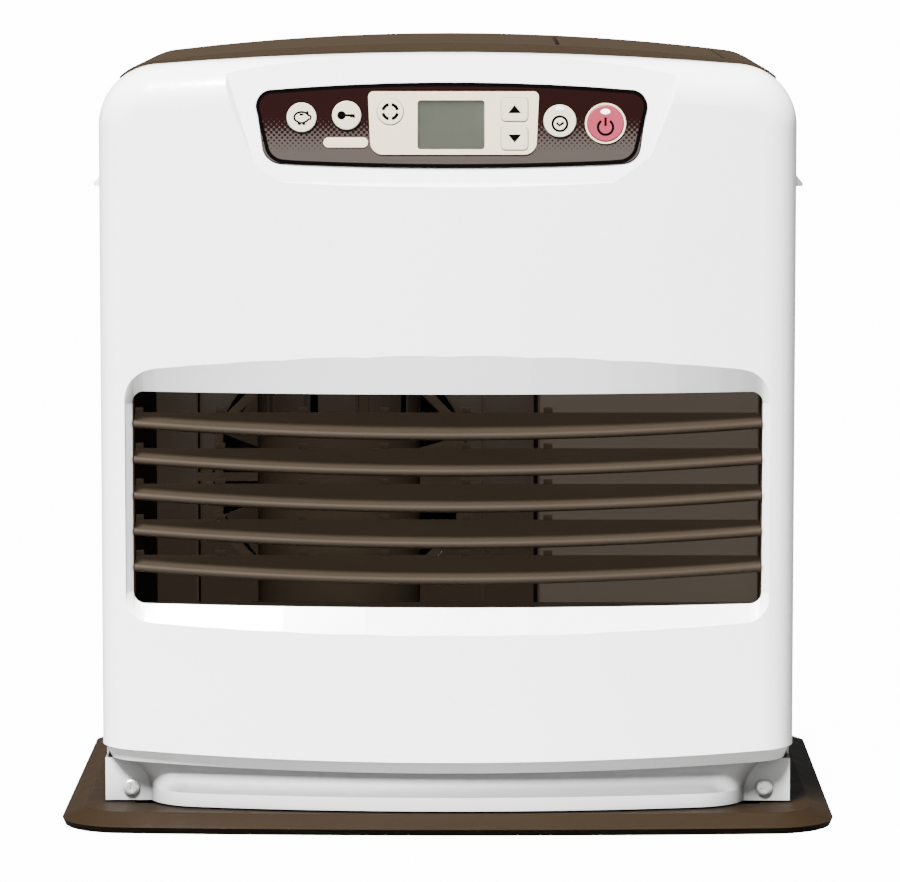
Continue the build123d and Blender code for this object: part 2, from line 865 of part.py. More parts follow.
notch_width = lug_width - hinge_gap + lid_gap
with BuildPart() as tank_lid:
    add(top_form.part)
    with BuildSketch(Plane.XY.offset(tank_high)):
        with Locations(((lid_left + lid_right) / 2, (lid_front_y + lid_rear_y) / 2)):
            Rectangle(lid_right - lid_left, lid_rear_y - lid_front_y)
    extrude(amount=2 * shoulder_radius, mode=Mode.INTERSECT)
    with BuildSketch(Plane.XY.offset(top_z(lid_right) - lid_drop)):
        with Locations(((lid_left + lid_right) / 2, (lid_front_y + lid_rear_y) / 2)):
            Rectangle(lid_right - lid_left, lid_rear_y - lid_front_y)
        inner_left = lid_left + lug_width
        with Locations(
            ((inner_left + lid_right - lid_rim) / 2 - lid_rim, (lid_front_y + lid_rear_y) / 2)
        ):
            Rectangle(
                lid_right - lid_rim - inner_left + 2 * lid_rim + 2 * lug_width,
                lid_rear_y - lid_front_y - 2 * lid_rim,
                mode=Mode.SUBTRACT,
            )
    extrude(amount=lid_drop - lid_rim)
    for end, inward in lid_ends:
        with BuildSketch(Plane.XY.offset(tank_high)):
            with Locations((lid_left, end)):
                Rectangle(2 * notch_width, 2 * (lug_length + knuckle_play))
        extrude(amount=2 * shoulder_radius, mode=Mode.SUBTRACT)
        near = end + inward * knuckle_start
        far = near + inward * knuckle_length
        with BuildSketch(Plane.XZ.offset(-max(near, far))):
            with Locations((hinge_x, hinge_z)):
                Circle(knuckle_radius)
            with Locations((hinge_x, (hinge_z + plate_under + lid_rim) / 2)):
                Rectangle(2 * hinge_inset, plate_under + lid_rim - hinge_z)
        extrude(amount=knuckle_length)
    with BuildSketch(Plane.XZ.offset(-lid_rear_y)):
        with Locations((hinge_x, hinge_z)):
            Circle(hinge_pin_radius + hinge_fit)
    extrude(amount=lid_rear_y - lid_front_y, mode=Mode.SUBTRACT)
finish(tank_lid.part, "tank_lid")

with BuildPart() as lid_hinge_pins:
    for end, inward in lid_ends:
        outer = end - inward * (lug_outer - 1)
        inner = end + inward * (knuckle_start + knuckle_length * 0.8)
        with BuildSketch(Plane.XZ.offset(-max(outer, inner))):
            with Locations((hinge_x, hinge_z)):
                Circle(hinge_pin_radius)
        extrude(amount=abs(outer - inner))
finish(lid_hinge_pins.part, "lid_hinge_pins")


# Control fascia: a moulding in the facet, with holes for the buttons and the display
def arrow_button_outline():
    """Outline of one arrow button."""
    with BuildSketch() as outline:
        RectangleRounded(arrow_width, arrow_height, arrow_corner)
    return outline.sketch


def round_button_outline(radius):
    """Outline of a round button."""
    with BuildSketch() as outline:
        Circle(radius)
    return outline.sketch


round_buttons = {
    "economy_button": (economy_at, economy_radius),
    "lock_button": (lock_at, lock_radius),
    "ring_button": (ring_at, ring_radius),
    "timer_button": (timer_at, timer_radius),
    "power_button": (power_at, power_radius),
}
arrow_buttons = {
    "up_button": (arrow_x, arrow_up_height),
    "down_button": (arrow_x, arrow_down_height),
}
button_places = [at for at, radius in round_buttons.values()] + list(arrow_buttons.values())
fascia_back = fascia_proud - fascia_thick
board_front = -board_depth
display_at = (display_x, display_up)


def button_holes(gap):
    """All button holes, in the sketch frame of the facet."""
    with BuildSketch() as holes:
        for at, radius in round_buttons.values():
            with Locations(at):
                Circle(radius + gap)
        for at in arrow_buttons.values():
            with Locations(at):
                RectangleRounded(arrow_width + 2 * gap, arrow_height + 2 * gap, arrow_corner + gap)
    return holes.sketch


def display_hole(gap):
    """The display's window opening."""
    with BuildSketch() as hole:
        with Locations(display_at):
            RectangleRounded(display_width + 2 * gap, display_height + 2 * gap, display_corner + gap)
    return hole.sketch


with BuildPart() as control_fascia:
    with BuildSketch(control_plane.offset(fascia_back)):
        add(fascia_outline(0))
    extrude(amount=fascia_thick)
    fillet(control_fascia.edges().group_by(Axis.Y)[0], radius=button_round)
    with BuildSketch(control_plane.offset(fascia_back)):
        add(fascia_outline(fascia_flange))
    extrude(amount=-fascia_back - panel_wall)
    with BuildSketch(control_plane.offset(fascia_back)):
        add(button_holes(button_gap))
        add(display_hole(fascia_gap))
    extrude(amount=2 * fascia_thick, mode=Mode.SUBTRACT)
    with BuildSketch(control_plane.offset(board_front)):
        with Locations(
            *[
                (x, y)
                for x in (-board_half + post_inset, board_half - post_inset)
                for y in (board_low + post_margin, board_high - post_margin)
            ]
        ):
            Circle(post_radius)
    extrude(amount=board_depth + fascia_back)
finish(control_fascia.part, "control_fascia")

# Cream trims on the fascia: display surround, power button ring and pill label
with BuildPart() as fascia_trims:
    with BuildSketch(control_plane.offset(fascia_proud)) as outline:
        with BuildLine():
            Polyline(
                (bezel_left, bezel_high),
                (bezel_right, bezel_high),
                (bezel_right - bezel_lean, bezel_low),
                (bezel_left + bezel_lean, bezel_low),
                close=True,
            )
        make_face()
        fillet(outline.vertices().sort_by(Axis.Y)[:2], radius=bezel_corner_foot)
        fillet(outline.vertices().sort_by(Axis.Y)[-2:], radius=bezel_corner_top)
        add(button_holes(button_gap), mode=Mode.SUBTRACT)
        add(display_hole(0), mode=Mode.SUBTRACT)
        with Locations(power_at):
            Circle(power_radius + button_gap + power_rim)
            Circle(power_radius + button_gap, mode=Mode.SUBTRACT)
    extrude(amount=bezel_thick)
    with BuildSketch(control_plane.offset(fascia_proud)):
        with Locations(pill_at):
            SlotOverall(pill_length, pill_height)
    extrude(amount=pill_thick)
finish(fascia_trims.part, "fascia_trims")

with BuildPart() as display_window:
    with BuildSketch(control_plane.offset(fascia_proud + bezel_thick - window_thick)):
        add(display_hole(0))
    extrude(amount=window_thick - button_gap)
finish(display_window.part, "display_window")

with BuildPart() as display_module:
    with BuildSketch(control_plane.offset(board_front)):
        with Locations(display_at):
            Rectangle(display_width + 2 * module_margin, display_height + 2 * module_margin)
    extrude(amount=board_depth + fascia_back)
    with BuildSketch(control_plane.offset(fascia_back)):
        add(display_hole(0))
    extrude(amount=fascia_thick + bezel_thick - window_thick)
finish(display_module.part, "display_module")

# Buttons: each has a cap, a flange behind the fascia and a stem into its switch
button_bases = {name: (at, round_button_outline(radius)) for name, (at, radius) in round_buttons.items()}
button_bases |= {name: (at, arrow_button_outline()) for name, at in arrow_buttons.items()}
cap_top = fascia_proud + button_proud
for name, (at, outline) in button_bases.items():
    flange_back = fascia_back - flange_gap - flange_thick
    switch_top = board_front + switch_height
    with BuildPart() as button:
        with BuildSketch(control_plane.offset(flange_back)):
            with Locations(at):
                add(outline)
        extrude(amount=cap_top - flange_back)
        fillet(button.faces().sort_by(control_axis)[-1].edges(), radius=button_round)
        with BuildSketch(control_plane.offset(flange_back)) as flange:
            with Locations(at):
                add(outline)
            offset(amount=button_flange)
        extrude(amount=flange_thick)
        with BuildSketch(control_plane.offset(switch_top - stem_depth)):
            with Locations(at):
                Circle(stem_radius)
        extrude(amount=flange_back - switch_top + stem_depth)
    finish(button.part, name)

with BuildPart() as control_board:
    with BuildSketch(control_plane.offset(board_front - board_thick)):
        with Locations((0, (board_low + board_high) / 2)):
            Rectangle(2 * board_half, board_high - board_low)
    extrude(amount=board_thick)
finish(control_board.part, "control_board")

with BuildPart() as tact_switches:
    with BuildSketch(control_plane.offset(board_front)):
        with Locations(*button_places):
            Rectangle(switch_size, switch_size)
            Circle(stem_radius + stem_gap, mode=Mode.SUBTRACT)
    extrude(amount=switch_height)
finish(tact_switches.part, "tact_switches")

# Louvres: five blades with a beaded, bowed front edge and small tabs on the back edge
slat_run = slat_rear_y - slat_front_y
slat_angle = atan2(slat_rise, slat_run)
slat_depth = slat_run / cos(slat_angle)
slat_sag = slat_bow / cos(slat_angle)
tab_places = [tab_first_x + index * tab_pitch for index in range(tab_count)]
with BuildPart() as louvres:
    for index in range(slat_count):
        slat_plane = Plane(
            origin=(0, slat_front_y, slat_first_z + index * slat_pitch),
            x_dir=(1, 0, 0),
            z_dir=(0, -sin(slat_angle), cos(slat_angle)),
        )
        with BuildSketch(slat_plane):
            with BuildLine():
                ThreePointArc((-slat_half, slat_sag), (0, 0), (slat_half, slat_sag))
                Polyline(
                    (slat_half, slat_sag), (slat_half, slat_depth), (-slat_half, slat_depth), (-slat_half, slat_sag)
                )
            make_face()
        extrude(amount=slat_thick / 2, both=True)
        with BuildLine(slat_plane) as edge:
            ThreePointArc((-slat_half, slat_sag), (0, 0), (slat_half, slat_sag))
        with BuildSketch(Plane(origin=edge.line @ 0, z_dir=edge.line % 0)):
            Circle(bead_radius)
        sweep(path=edge.line)
        with BuildSketch(slat_plane.offset(slat_thick / 2)):
            with Locations(*[(x, slat_depth - slat_thick / 2) for x in tab_places]):
                Rectangle(tab_width, slat_thick)
        extrude(amount=tab_height)
    with BuildSketch(Plane.XZ.offset(-slat_rear_y - slat_run)):
        with Locations((0, outlet_mid)):
            Rectangle(2 * slat_half, outlet_high)
    extrude(amount=3 * slat_run, mode=Mode.INTERSECT)
finish(louvres.part, "louvres")

louvre_frame_back = heat_front_y
with BuildPart() as louvre_frame:
    with BuildSketch(Plane.XZ.offset(-louvre_frame_back)):
        with Locations((0, (louvre_frame_low + louvre_frame_high) / 2)):
            Rectangle(2 * louvre_frame_half, louvre_frame_high - louvre_frame_low)
        with Locations((0, (louvre_window_low + louvre_window_high) / 2)):
            Rectangle(2 * slat_half, louvre_window_high - louvre_window_low, mode=Mode.SUBTRACT)
    extrude(amount=louvre_frame_back - louvre_frame_y)
finish(louvre_frame.part, "louvre_frame")

# Heat shield behind the right part of the louvres
with BuildPart() as heat_shield:
    with BuildSketch(Plane.XZ.offset(-heat_front_y - sheet)):
        with Locations(((heat_right + sheet / 4 + shield_right) / 2, (louvre_frame_low + louvre_frame_high) / 2)):
            Rectangle(shield_right - heat_right - sheet / 4, louvre_frame_high - louvre_frame_low)
    extrude(amount=sheet)
finish(heat_shield.part, "heat_shield")

# Heat box round the burner, open to the louvres and to the fan
with BuildPart() as heat_box:
    mid_x = (heat_left + heat_right) / 2
    mid_z = (heat_low + heat_high) / 2
    with BuildSketch(Plane.XZ.offset(-rear_panel_y)):
        with Locations((mid_x, mid_z)):
            Rectangle(heat_right - heat_left, heat_high - heat_low)
            Rectangle(
                heat_right - heat_left - 2 * heat_sheet, heat_high - heat_low - 2 * heat_sheet, mode=Mode.SUBTRACT
            )
    extrude(amount=rear_panel_y - heat_front_y)
    with BuildSketch(Plane.XY.offset(heat_low)):
        with Locations((burner_x, burner_y)):
            Circle(pot_radius + fascia_gap)
    extrude(amount=heat_sheet, mode=Mode.SUBTRACT)
    leg_front = heat_front_y + heat_leg
    leg_rear = rear_panel_y - heat_leg
    with BuildSketch(Plane.XY.offset(pan_top)):
        with Locations(*[(x, y) for x in (heat_left + heat_leg, heat_leg_right_x) for y in (leg_front, leg_rear)]):
            Rectangle(heat_leg, heat_leg)
    extrude(amount=heat_low - pan_top)
finish(heat_box.part, "heat_box")

# Burner: pot, head, chamber, igniter and flame sensor
with BuildPart() as burner_pot:
    with BuildSketch(Plane.XY.offset(pot_low)):
        with Locations((burner_x, burner_y)):
            Circle(pot_radius)
    extrude(amount=pot_high - pot_low)
    with BuildSketch(Plane.XY.offset(heat_low + heat_sheet)):
        with Locations((burner_x, burner_y)):
            Circle(pot_flange)
    extrude(amount=2 * heat_sheet)
    with BuildSketch(Plane.XY.offset(pot_high - pot_wall)):
        with Locations((burner_x, burner_y)):
            Circle(head_radius - pot_wall)
    extrude(amount=pot_wall, mode=Mode.SUBTRACT)
    with BuildSketch(Plane.XY.offset(pot_low)):
        with Locations((burner_x, burner_y)):
            Circle(air_tube_width / 2)
    extrude(amount=pot_high - pot_low, mode=Mode.SUBTRACT)
    with BuildSketch(Plane.XZ.offset(-burner_y)):
        with Locations((burner_x, igniter_z)):
            Circle(igniter_radius + shaft_fit)
    extrude(amount=pot_radius, mode=Mode.SUBTRACT)
finish(burner_pot.part, "burner_pot")

with BuildPart() as burner_head:
    with BuildSketch(Plane.XY.offset(pot_high)):
        with Locations((burner_x, burner_y)):
            Circle(head_radius)
            Circle(head_radius - pot_wall, mode=Mode.SUBTRACT)
    extrude(amount=head_height)
    with BuildSketch(Plane.XY.offset(pot_high + head_height - pot_wall)):
        with Locations((burner_x, burner_y)):
            Circle(head_radius)
    extrude(amount=pot_wall)
    with BuildSketch(Plane.XY.offset(pot_high + head_height / 2)):
        with Locations((burner_x, burner_y)):
            with PolarLocations(head_radius, 2 * chamber_slots):
                Rectangle(3 * pot_wall, pot_wall)
    extrude(amount=pot_wall, mode=Mode.SUBTRACT)
finish(burner_head.part, "burner_head")

with BuildPart() as combustion_chamber:
    with BuildSketch(Plane.XY.offset(pot_high)):
        with Locations((burner_x, burner_y)):
            Circle(chamber_radius)
            Circle(head_radius + shaft_fit, mode=Mode.SUBTRACT)
    extrude(amount=chamber_wall)
    with BuildSketch(Plane.XY.offset(pot_high)):
        with Locations((burner_x, burner_y)):
            Circle(chamber_radius)
            Circle(chamber_radius - chamber_wall, mode=Mode.SUBTRACT)
    extrude(amount=chamber_height)
    with BuildSketch(Plane.XY.offset(pot_high + chamber_height - chamber_wall)):
        with Locations((burner_x, burner_y)):
            Circle(chamber_radius)
    extrude(amount=chamber_wall)
    with BuildSketch(Plane.XY.offset(pot_high + chamber_height - chamber_slot_height - chamber_wall)):
        with Locations((burner_x, burner_y)):
            with PolarLocations(chamber_radius, chamber_slots):
                Rectangle(3 * chamber_wall, chamber_slot_width)
    extrude(amount=chamber_slot_height - chamber_slot_width, mode=Mode.SUBTRACT)
finish(combustion_chamber.part, "combustion_chamber")

with BuildPart() as igniter:
    with BuildSketch(Plane.XZ.offset(-burner_y + pot_radius - igniter_length / 3)):
        with Locations((burner_x, igniter_z)):
            Circle(igniter_radius)
    extrude(amount=igniter_length)
    with BuildSketch(Plane.XZ.offset(-burner_y + pot_radius + fascia_gap)):
        with Locations((burner_x, igniter_z)):
            RegularPolygon(1.8 * igniter_radius, 6)
    extrude(amount=igniter_radius)
finish(igniter.part, "igniter")

with BuildPart() as flame_sensor:
    with BuildSketch(Plane.XY.offset(pot_high + chamber_wall)):
        with Locations((burner_x + flame_sensor_out, burner_y)):
            Circle(flame_sensor_radius)
    extrude(amount=flame_sensor_length)
    fillet(flame_sensor.edges().group_by(Axis.Z)[-1], radius=flame_sensor_radius * 0.9)
finish(flame_sensor.part, "flame_sensor")


# Convection fan, its motor, bracket, shroud, guard and filter
with BuildPart() as fan_shroud:
    with BuildSketch(Plane.XZ.offset(-rear_panel_y)):
        with Locations((fan_x, fan_z)):
            Rectangle(2 * shroud_half, 2 * shroud_half)
            Rectangle(2 * (shroud_half - heat_sheet), 2 * (shroud_half - heat_sheet), mode=Mode.SUBTRACT)
    extrude(amount=shroud_depth)
finish(fan_shroud.part, "fan_shroud")

bracket_y = rear_panel_y - shroud_depth
motor_rear_y = bracket_y
with BuildPart() as fan_bracket:
    with BuildSketch(Plane.XZ.offset(-bracket_y)):
        with Locations((fan_x, fan_z)):
            with Locations((0, shroud_half - bracket_strip / 2), (0, -shroud_half + bracket_strip / 2)):
                Rectangle(2 * shroud_half, bracket_strip)
            RegularPolygon(bracket_apothem, 8, major_radius=False, rotation=22.5)
            RegularPolygon(bracket_apothem - bracket_strip, 8, major_radius=False, rotation=22.5, mode=Mode.SUBTRACT)
            Rectangle(bracket_strip, 2 * shroud_half)
            Rectangle(2 * shroud_half, bracket_strip)
            Circle(motor_radius + bracket_strip)
            Circle(motor_radius, mode=Mode.SUBTRACT)
    extrude(amount=heat_sheet * 2)
finish(fan_bracket.part, "fan_bracket")

with BuildPart() as fan_motor:
    with BuildSketch(Plane.XZ.offset(-motor_rear_y)):
        with Locations((fan_x, fan_z)):
            Circle(motor_radius)
    extrude(amount=motor_length)
    fillet(fan_motor.edges().group_by(Axis.Y)[0], radius=motor_shaft_radius)
    with BuildSketch(Plane.XZ.offset(-motor_rear_y)):
        with Locations((fan_x, fan_z)):
            Circle(motor_shaft_radius)
    extrude(amount=-(fan_front_y + fan_hub_length - motor_rear_y))
finish(fan_motor.part, "fan_motor")

blade_root = (fan_hub_radius - blade_root_sink, blade_root_pitch, blade_root_width)
blade_tip = (fan_radius - blade_tip_inset, blade_tip_pitch, blade_tip_width)
with BuildPart() as convection_fan:
    with BuildSketch(Plane.XZ.offset(-fan_front_y - fan_hub_length)):
        with Locations((fan_x, fan_z)):
            Circle(fan_hub_radius)
    extrude(amount=fan_hub_length)
    for index in range(fan_blades):
        turn = 2 * pi * index / fan_blades
        outward = Vector(cos(turn), 0, sin(turn))
        middle = Vector(fan_x, fan_front_y + fan_hub_length / 2, fan_z)
        for radius, pitch, width in (blade_root, blade_tip):
            around = Vector(-sin(turn), 0, cos(turn))
            chord = around * cos(radians(pitch)) + Vector(0, 1, 0) * sin(radians(pitch)) * blade_flatness
            with BuildSketch(Plane(origin=middle + outward * radius, x_dir=chord, z_dir=outward)):
                Rectangle(width, fan_blade_thick)
        loft()
    with BuildSketch(Plane.XZ.offset(-fan_front_y - fan_hub_length)):
        with Locations((fan_x, fan_z)):
            Circle(motor_shaft_radius + shaft_fit)
    extrude(amount=fan_hub_length, mode=Mode.SUBTRACT)
finish(convection_fan.part, "convection_fan")

guard_rear_y = cabinet_rear_y + guard_depth
ring_pitch = (guard_radius - guard_wall) / (guard_rings + 1)
with BuildPart() as fan_guard:
    with BuildSketch(Plane.XZ.offset(-guard_rear_y)):
        with Locations((fan_x, fan_z)):
            Circle(guard_radius)
            Circle(guard_radius - guard_wall, mode=Mode.SUBTRACT)
    extrude(amount=guard_depth)
    with BuildSketch(Plane.XZ.offset(-guard_rear_y)):
        with Locations((fan_x, fan_z)):
            for index in range(1, guard_rings + 1):
                Circle(index * ring_pitch + guard_bar / 2)
                Circle(index * ring_pitch - guard_bar / 2, mode=Mode.SUBTRACT)
            Circle(ring_pitch)
            with PolarLocations((guard_radius - guard_wall / 2 + ring_pitch / 2) / 2, guard_spokes):
                Rectangle(guard_radius - guard_wall / 2 - ring_pitch / 2, guard_bar)
    extrude(amount=guard_bar)
finish(fan_guard.part, "fan_guard")

with BuildPart() as air_filter:
    with BuildSketch(Plane.XZ.offset(-guard_rear_y - filter_gap - filter_thick)):
        with Locations((fan_x, fan_z)):
            Circle(guard_radius)
            Circle(guard_radius - filter_frame, mode=Mode.SUBTRACT)
    extrude(amount=filter_thick)
    with BuildSketch(Plane.XZ.offset(-guard_rear_y - filter_gap - filter_thick / 2)):
        with Locations((fan_x, fan_z)):
            Circle(guard_radius - filter_frame / 2)
            with GridLocations(
                filter_cell + filter_bar, filter_cell + filter_bar, filter_cells + 2, filter_cells + 2
            ):
                Rectangle(filter_cell, filter_cell, mode=Mode.SUBTRACT)
            Circle(guard_radius - filter_frame / 2)
            Circle(guard_radius - filter_frame, mode=Mode.SUBTRACT)
    extrude(amount=filter_bar)
finish(air_filter.part, "air_filter")

# Inlet for the mains lead
with BuildPart() as cord_gland:
    with BuildSketch(Plane.XZ.offset(-cabinet_rear_y)):
        with Locations((gland_x, gland_z)):
            Circle(gland_flange)
    extrude(amount=-sheet * 2)
    with BuildSketch(Plane.XZ.offset(-cabinet_rear_y)):
        with Locations((gland_x, gland_z)):
            Circle(gland_body)
    extrude(amount=gland_length - sheet * 2)
    with BuildSketch(Plane.XZ.offset(-cabinet_rear_y - sheet * 2)):
        with Locations((gland_x, gland_z)):
            Circle(gland_bore)
    extrude(amount=gland_length, mode=Mode.SUBTRACT)
finish(cord_gland.part, "cord_gland")

with BuildPart() as room_sensor:
    with BuildSketch(Plane.XZ.offset(-cabinet_rear_y - gland_bore)):
        with Locations((sensor_x, sensor_z)):
            SlotOverall(gland_flange * 2, gland_bore * 2)
    extrude(amount=gland_bore)
    with BuildSketch(Plane.XZ.offset(-cabinet_rear_y - gland_bore * 2)):
        with Locations((sensor_x, sensor_z)):
            Circle(gland_bore / 2)
    extrude(amount=gland_bore)
finish(room_sensor.part, "room_sensor")

# Burner blower under the heat box
wheel_low = pan_top + blower_wall + blower_lift
blower_top = pan_top + blower_height
with BuildPart() as blower_housing:
    with BuildSketch(Plane.XY.offset(pan_top)):
        with Locations((blower_x, burner_y)):
            Circle(blower_radius)
    extrude(amount=blower_height)
    with BuildSketch(Plane.XY.offset(pan_top + blower_wall)):
        with Locations((blower_x, burner_y)):
            Circle(blower_radius - blower_wall)
    extrude(amount=blower_height - 2 * blower_wall, mode=Mode.SUBTRACT)
    with BuildSketch(Plane.XY.offset(pan_top)):
        with Locations((blower_x, burner_y)):
            Circle(2 * motor_shaft_radius)
    extrude(amount=blower_height, mode=Mode.SUBTRACT)
    with BuildSketch(Plane.YZ.offset(blower_x + blower_radius * 0.7)):
        with Locations((burner_y, pan_top + blower_height / 2)):
            Rectangle(air_tube_width - 2 * blower_wall, blower_height - 4 * blower_wall)
    extrude(amount=blower_radius, mode=Mode.SUBTRACT)
finish(blower_housing.part, "blower_housing")

with BuildPart() as blower_motor:
    with BuildSketch(Plane.XY.offset(blower_top)):
        with Locations((blower_x, burner_y)):
            Circle(blower_motor_radius)
    extrude(amount=heat_low - blower_top - 2 * blower_lift)
    with BuildSketch(Plane.XY.offset(wheel_low)):
        with Locations((blower_x, burner_y)):
            Circle(motor_shaft_radius)
    extrude(amount=blower_top - wheel_low)
finish(blower_motor.part, "blower_motor")

with BuildPart() as blower_wheel:
    with BuildSketch(Plane.XY.offset(wheel_low)):
        with Locations((blower_x, burner_y)):
            Circle(wheel_radius)
    extrude(amount=blower_wall)
    with BuildSketch(Plane.XY.offset(wheel_low)):
        with Locations((blower_x, burner_y)):
            Circle(2 * motor_shaft_radius)
            with PolarLocations(wheel_radius * 0.86, wheel_vanes):
                Rectangle(wheel_radius * 0.26, blower_wall)
    extrude(amount=wheel_height)
    with BuildSketch(Plane.XY.offset(wheel_low)):
        with Locations((blower_x, burner_y)):
            Circle(motor_shaft_radius + shaft_fit)
    extrude(amount=wheel_height, mode=Mode.SUBTRACT)
finish(blower_wheel.part, "blower_wheel")

with BuildPart() as air_tube:
    tube_start = blower_x + sqrt(blower_radius**2 - (air_tube_width / 2) ** 2) + fascia_gap
    tube_end = burner_x + air_tube_width / 2 + blower_wall
    tube_low = pan_top + blower_wall
    tube_high = pan_top + blower_height - blower_wall
    with BuildSketch(Plane.XZ.offset(-burner_y - air_tube_width / 2)):
        with BuildLine():
            Polyline(
                (blower_x + blower_radius + fascia_gap, tube_low),
                (tube_end, tube_low),
                (tube_end, pot_low),
                (tube_end - air_tube_width - blower_wall, pot_low),
                (tube_end - air_tube_width - blower_wall, tube_high),
                (blower_x + blower_radius + fascia_gap, tube_high),
                close=True,
            )
        make_face()
    extrude(amount=air_tube_width)
    with BuildSketch(Plane.XZ.offset(-burner_y - air_tube_width / 2 + blower_wall)):
        with BuildLine():
            Polyline(
                (tube_start - blower_radius, tube_low + blower_wall),
                (tube_end - blower_wall, tube_low + blower_wall),
                (tube_end - blower_wall, pot_low + blower_wall),
                (tube_end - air_tube_width, pot_low + blower_wall),
                (tube_end - air_tube_width, tube_high - blower_wall),
                (tube_start - blower_radius, tube_high - blower_wall),
                close=True,
            )
        make_face()
    extrude(amount=air_tube_width - 2 * blower_wall, mode=Mode.SUBTRACT)
finish(air_tube.part, "air_tube")

# Fuel system: sump, strainer, lift-out tank, pump and pipe
tank_x = (tank_left + tank_right) / 2
tank_y = (tank_front_y + tank_rear_y) / 2
with BuildPart() as sump_tank:
    with BuildSketch(Plane.XY.offset(pan_top)) as outline:
        with Locations(((sump_left + sump_right) / 2, (sump_front_y + sump_rear_y) / 2)):
            RectangleRounded(sump_right - sump_left, sump_rear_y - sump_front_y, 2 * sump_wall)
    extrude(amount=sump_high - pan_top)
    with BuildSketch(Plane.XY.offset(pan_top + sump_wall)):
        with Locations(((sump_left + sump_right) / 2, (sump_front_y + sump_rear_y) / 2)):
            Rectangle(sump_right - sump_left - 2 * sump_wall, sump_rear_y - sump_front_y - 2 * sump_wall)
    extrude(amount=sump_high - pan_top - 2 * sump_wall, mode=Mode.SUBTRACT)
    with BuildSketch(Plane.XY.offset(sump_high)):
        with Locations((tank_x, tank_y)):
            Circle(receiver_radius)
    extrude(amount=tank_low - sump_high)
    with BuildSketch(Plane.XY.offset(sump_high - sump_wall)):
        with Locations((tank_x, tank_y)):
            Circle(receiver_radius - receiver_wall)
    extrude(amount=tank_low - sump_high + sump_wall, mode=Mode.SUBTRACT)
finish(sump_tank.part, "sump_tank")

with BuildPart() as fuel_strainer:
    with BuildSketch(Plane.XY.offset(pan_top + sump_wall)):
        with Locations((tank_x, tank_y)):
            Circle(strainer_radius)
    extrude(amount=strainer_height)
    with BuildSketch(Plane.XY.offset(pan_top + sump_wall + strainer_wall)):
        with Locations((tank_x, tank_y)):
            Circle(strainer_radius - strainer_wall)
    extrude(amount=strainer_height, mode=Mode.SUBTRACT)
finish(fuel_strainer.part, "fuel_strainer")

cap_top_z = tank_low - cap_shoulder_gap
with BuildPart() as fuel_tank:
    with BuildSketch(Plane.XY.offset(tank_low)):
        with Locations((tank_x, tank_y)):
            RectangleRounded(tank_right - tank_left, tank_rear_y - tank_front_y, tank_corner)
    extrude(amount=tank_high - tank_low)
    fillet(fuel_tank.edges().group_by(Axis.Z)[-1], radius=tank_corner / 2)
    with BuildSketch(Plane.XY.offset(tank_low)):
        with Locations((tank_x, tank_y)):
            Circle(cap_neck_radius)
    extrude(amount=-(cap_height - cap_neck_rise))
    with BuildSketch(Plane.XY.offset(tank_low + tank_wall)):
        with Locations((tank_x, tank_y)):
            RectangleRounded(
                tank_right - tank_left - 2 * tank_wall, tank_rear_y - tank_front_y - 2 * tank_wall, tank_corner - tank_wall
            )
    extrude(amount=tank_high - tank_low - tank_corner / 2, mode=Mode.SUBTRACT)
    with BuildSketch(Plane.XY.offset(tank_low - cap_height)):
        with Locations((tank_x, tank_y)):
            Circle(cap_neck_radius - 2 * tank_wall)
    extrude(amount=2 * cap_height, mode=Mode.SUBTRACT)
finish(fuel_tank.part, "fuel_tank")

with BuildPart() as tank_cap:
    with BuildSketch(Plane.XY.offset(cap_top_z - cap_height)):
        with Locations((tank_x, tank_y)):
            Circle(cap_radius)
            with PolarLocations(cap_radius, cap_grips):
                Circle(cap_grip_radius)
    extrude(amount=cap_height)
    with BuildSketch(Plane.XY.offset(cap_top_z - cap_height + cap_wall)):
        with Locations((tank_x, tank_y)):
            Circle(cap_neck_radius + cap_neck_gap)
    extrude(amount=cap_height, mode=Mode.SUBTRACT)
finish(tank_cap.part, "tank_cap")

with BuildPart() as tank_handle:
    with BuildSketch(Plane.XZ.offset(-tank_y - handle_width / 2)):
        with BuildLine():
            Polyline(
                (tank_x - handle_span / 2, tank_high),
                (tank_x - handle_span / 2, tank_high + handle_height),
                (tank_x + handle_span / 2, tank_high + handle_height),
                (tank_x + handle_span / 2, tank_high),
                (tank_x + handle_span / 2 - handle_bar, tank_high),
                (tank_x + handle_span / 2 - handle_bar, tank_high + handle_height - handle_bar / 2),
                (tank_x - handle_span / 2 + handle_bar, tank_high + handle_height - handle_bar / 2),
                (tank_x - handle_span / 2 + handle_bar, tank_high),
                close=True,
            )
        make_face()
    extrude(amount=handle_width)
    fillet(tank_handle.edges().filter_by(Axis.Y).group_by(Axis.Z)[-1], radius=handle_bar / 2)
finish(tank_handle.part, "tank_handle")

with BuildPart() as tank_gauge:
    with BuildSketch(Plane.XZ.offset(-tank_front_y)):
        with Locations((tank_x, tank_high - gauge_height)):
            SlotOverall(gauge_height, gauge_width, rotation=90)
    extrude(amount=gauge_thick)
finish(tank_gauge.part, "tank_gauge")

with BuildPart() as fuel_pump:
    with BuildSketch(Plane.XY.offset(sump_high)):
        with Locations((pump_x, burner_y)):
            Circle(pump_radius)
    extrude(amount=pump_height)
    with BuildSketch(Plane.XY.offset(sump_high + pump_height)):
        with Locations((pump_x, burner_y)):
            Circle(pump_radius * 0.6)
    extrude(amount=pump_radius * 0.4)
finish(fuel_pump.part, "fuel_pump")

with BuildPart() as fuel_pipe:
    with BuildSketch(Plane.YZ.offset(burner_x + pot_radius)):
        with Locations((burner_y, pipe_z)):
            Circle(pipe_radius)
            Circle(pipe_radius * 0.6, mode=Mode.SUBTRACT)
    extrude(amount=pump_x - pump_radius - burner_x - pot_radius)
finish(fuel_pipe.part, "fuel_pipe")

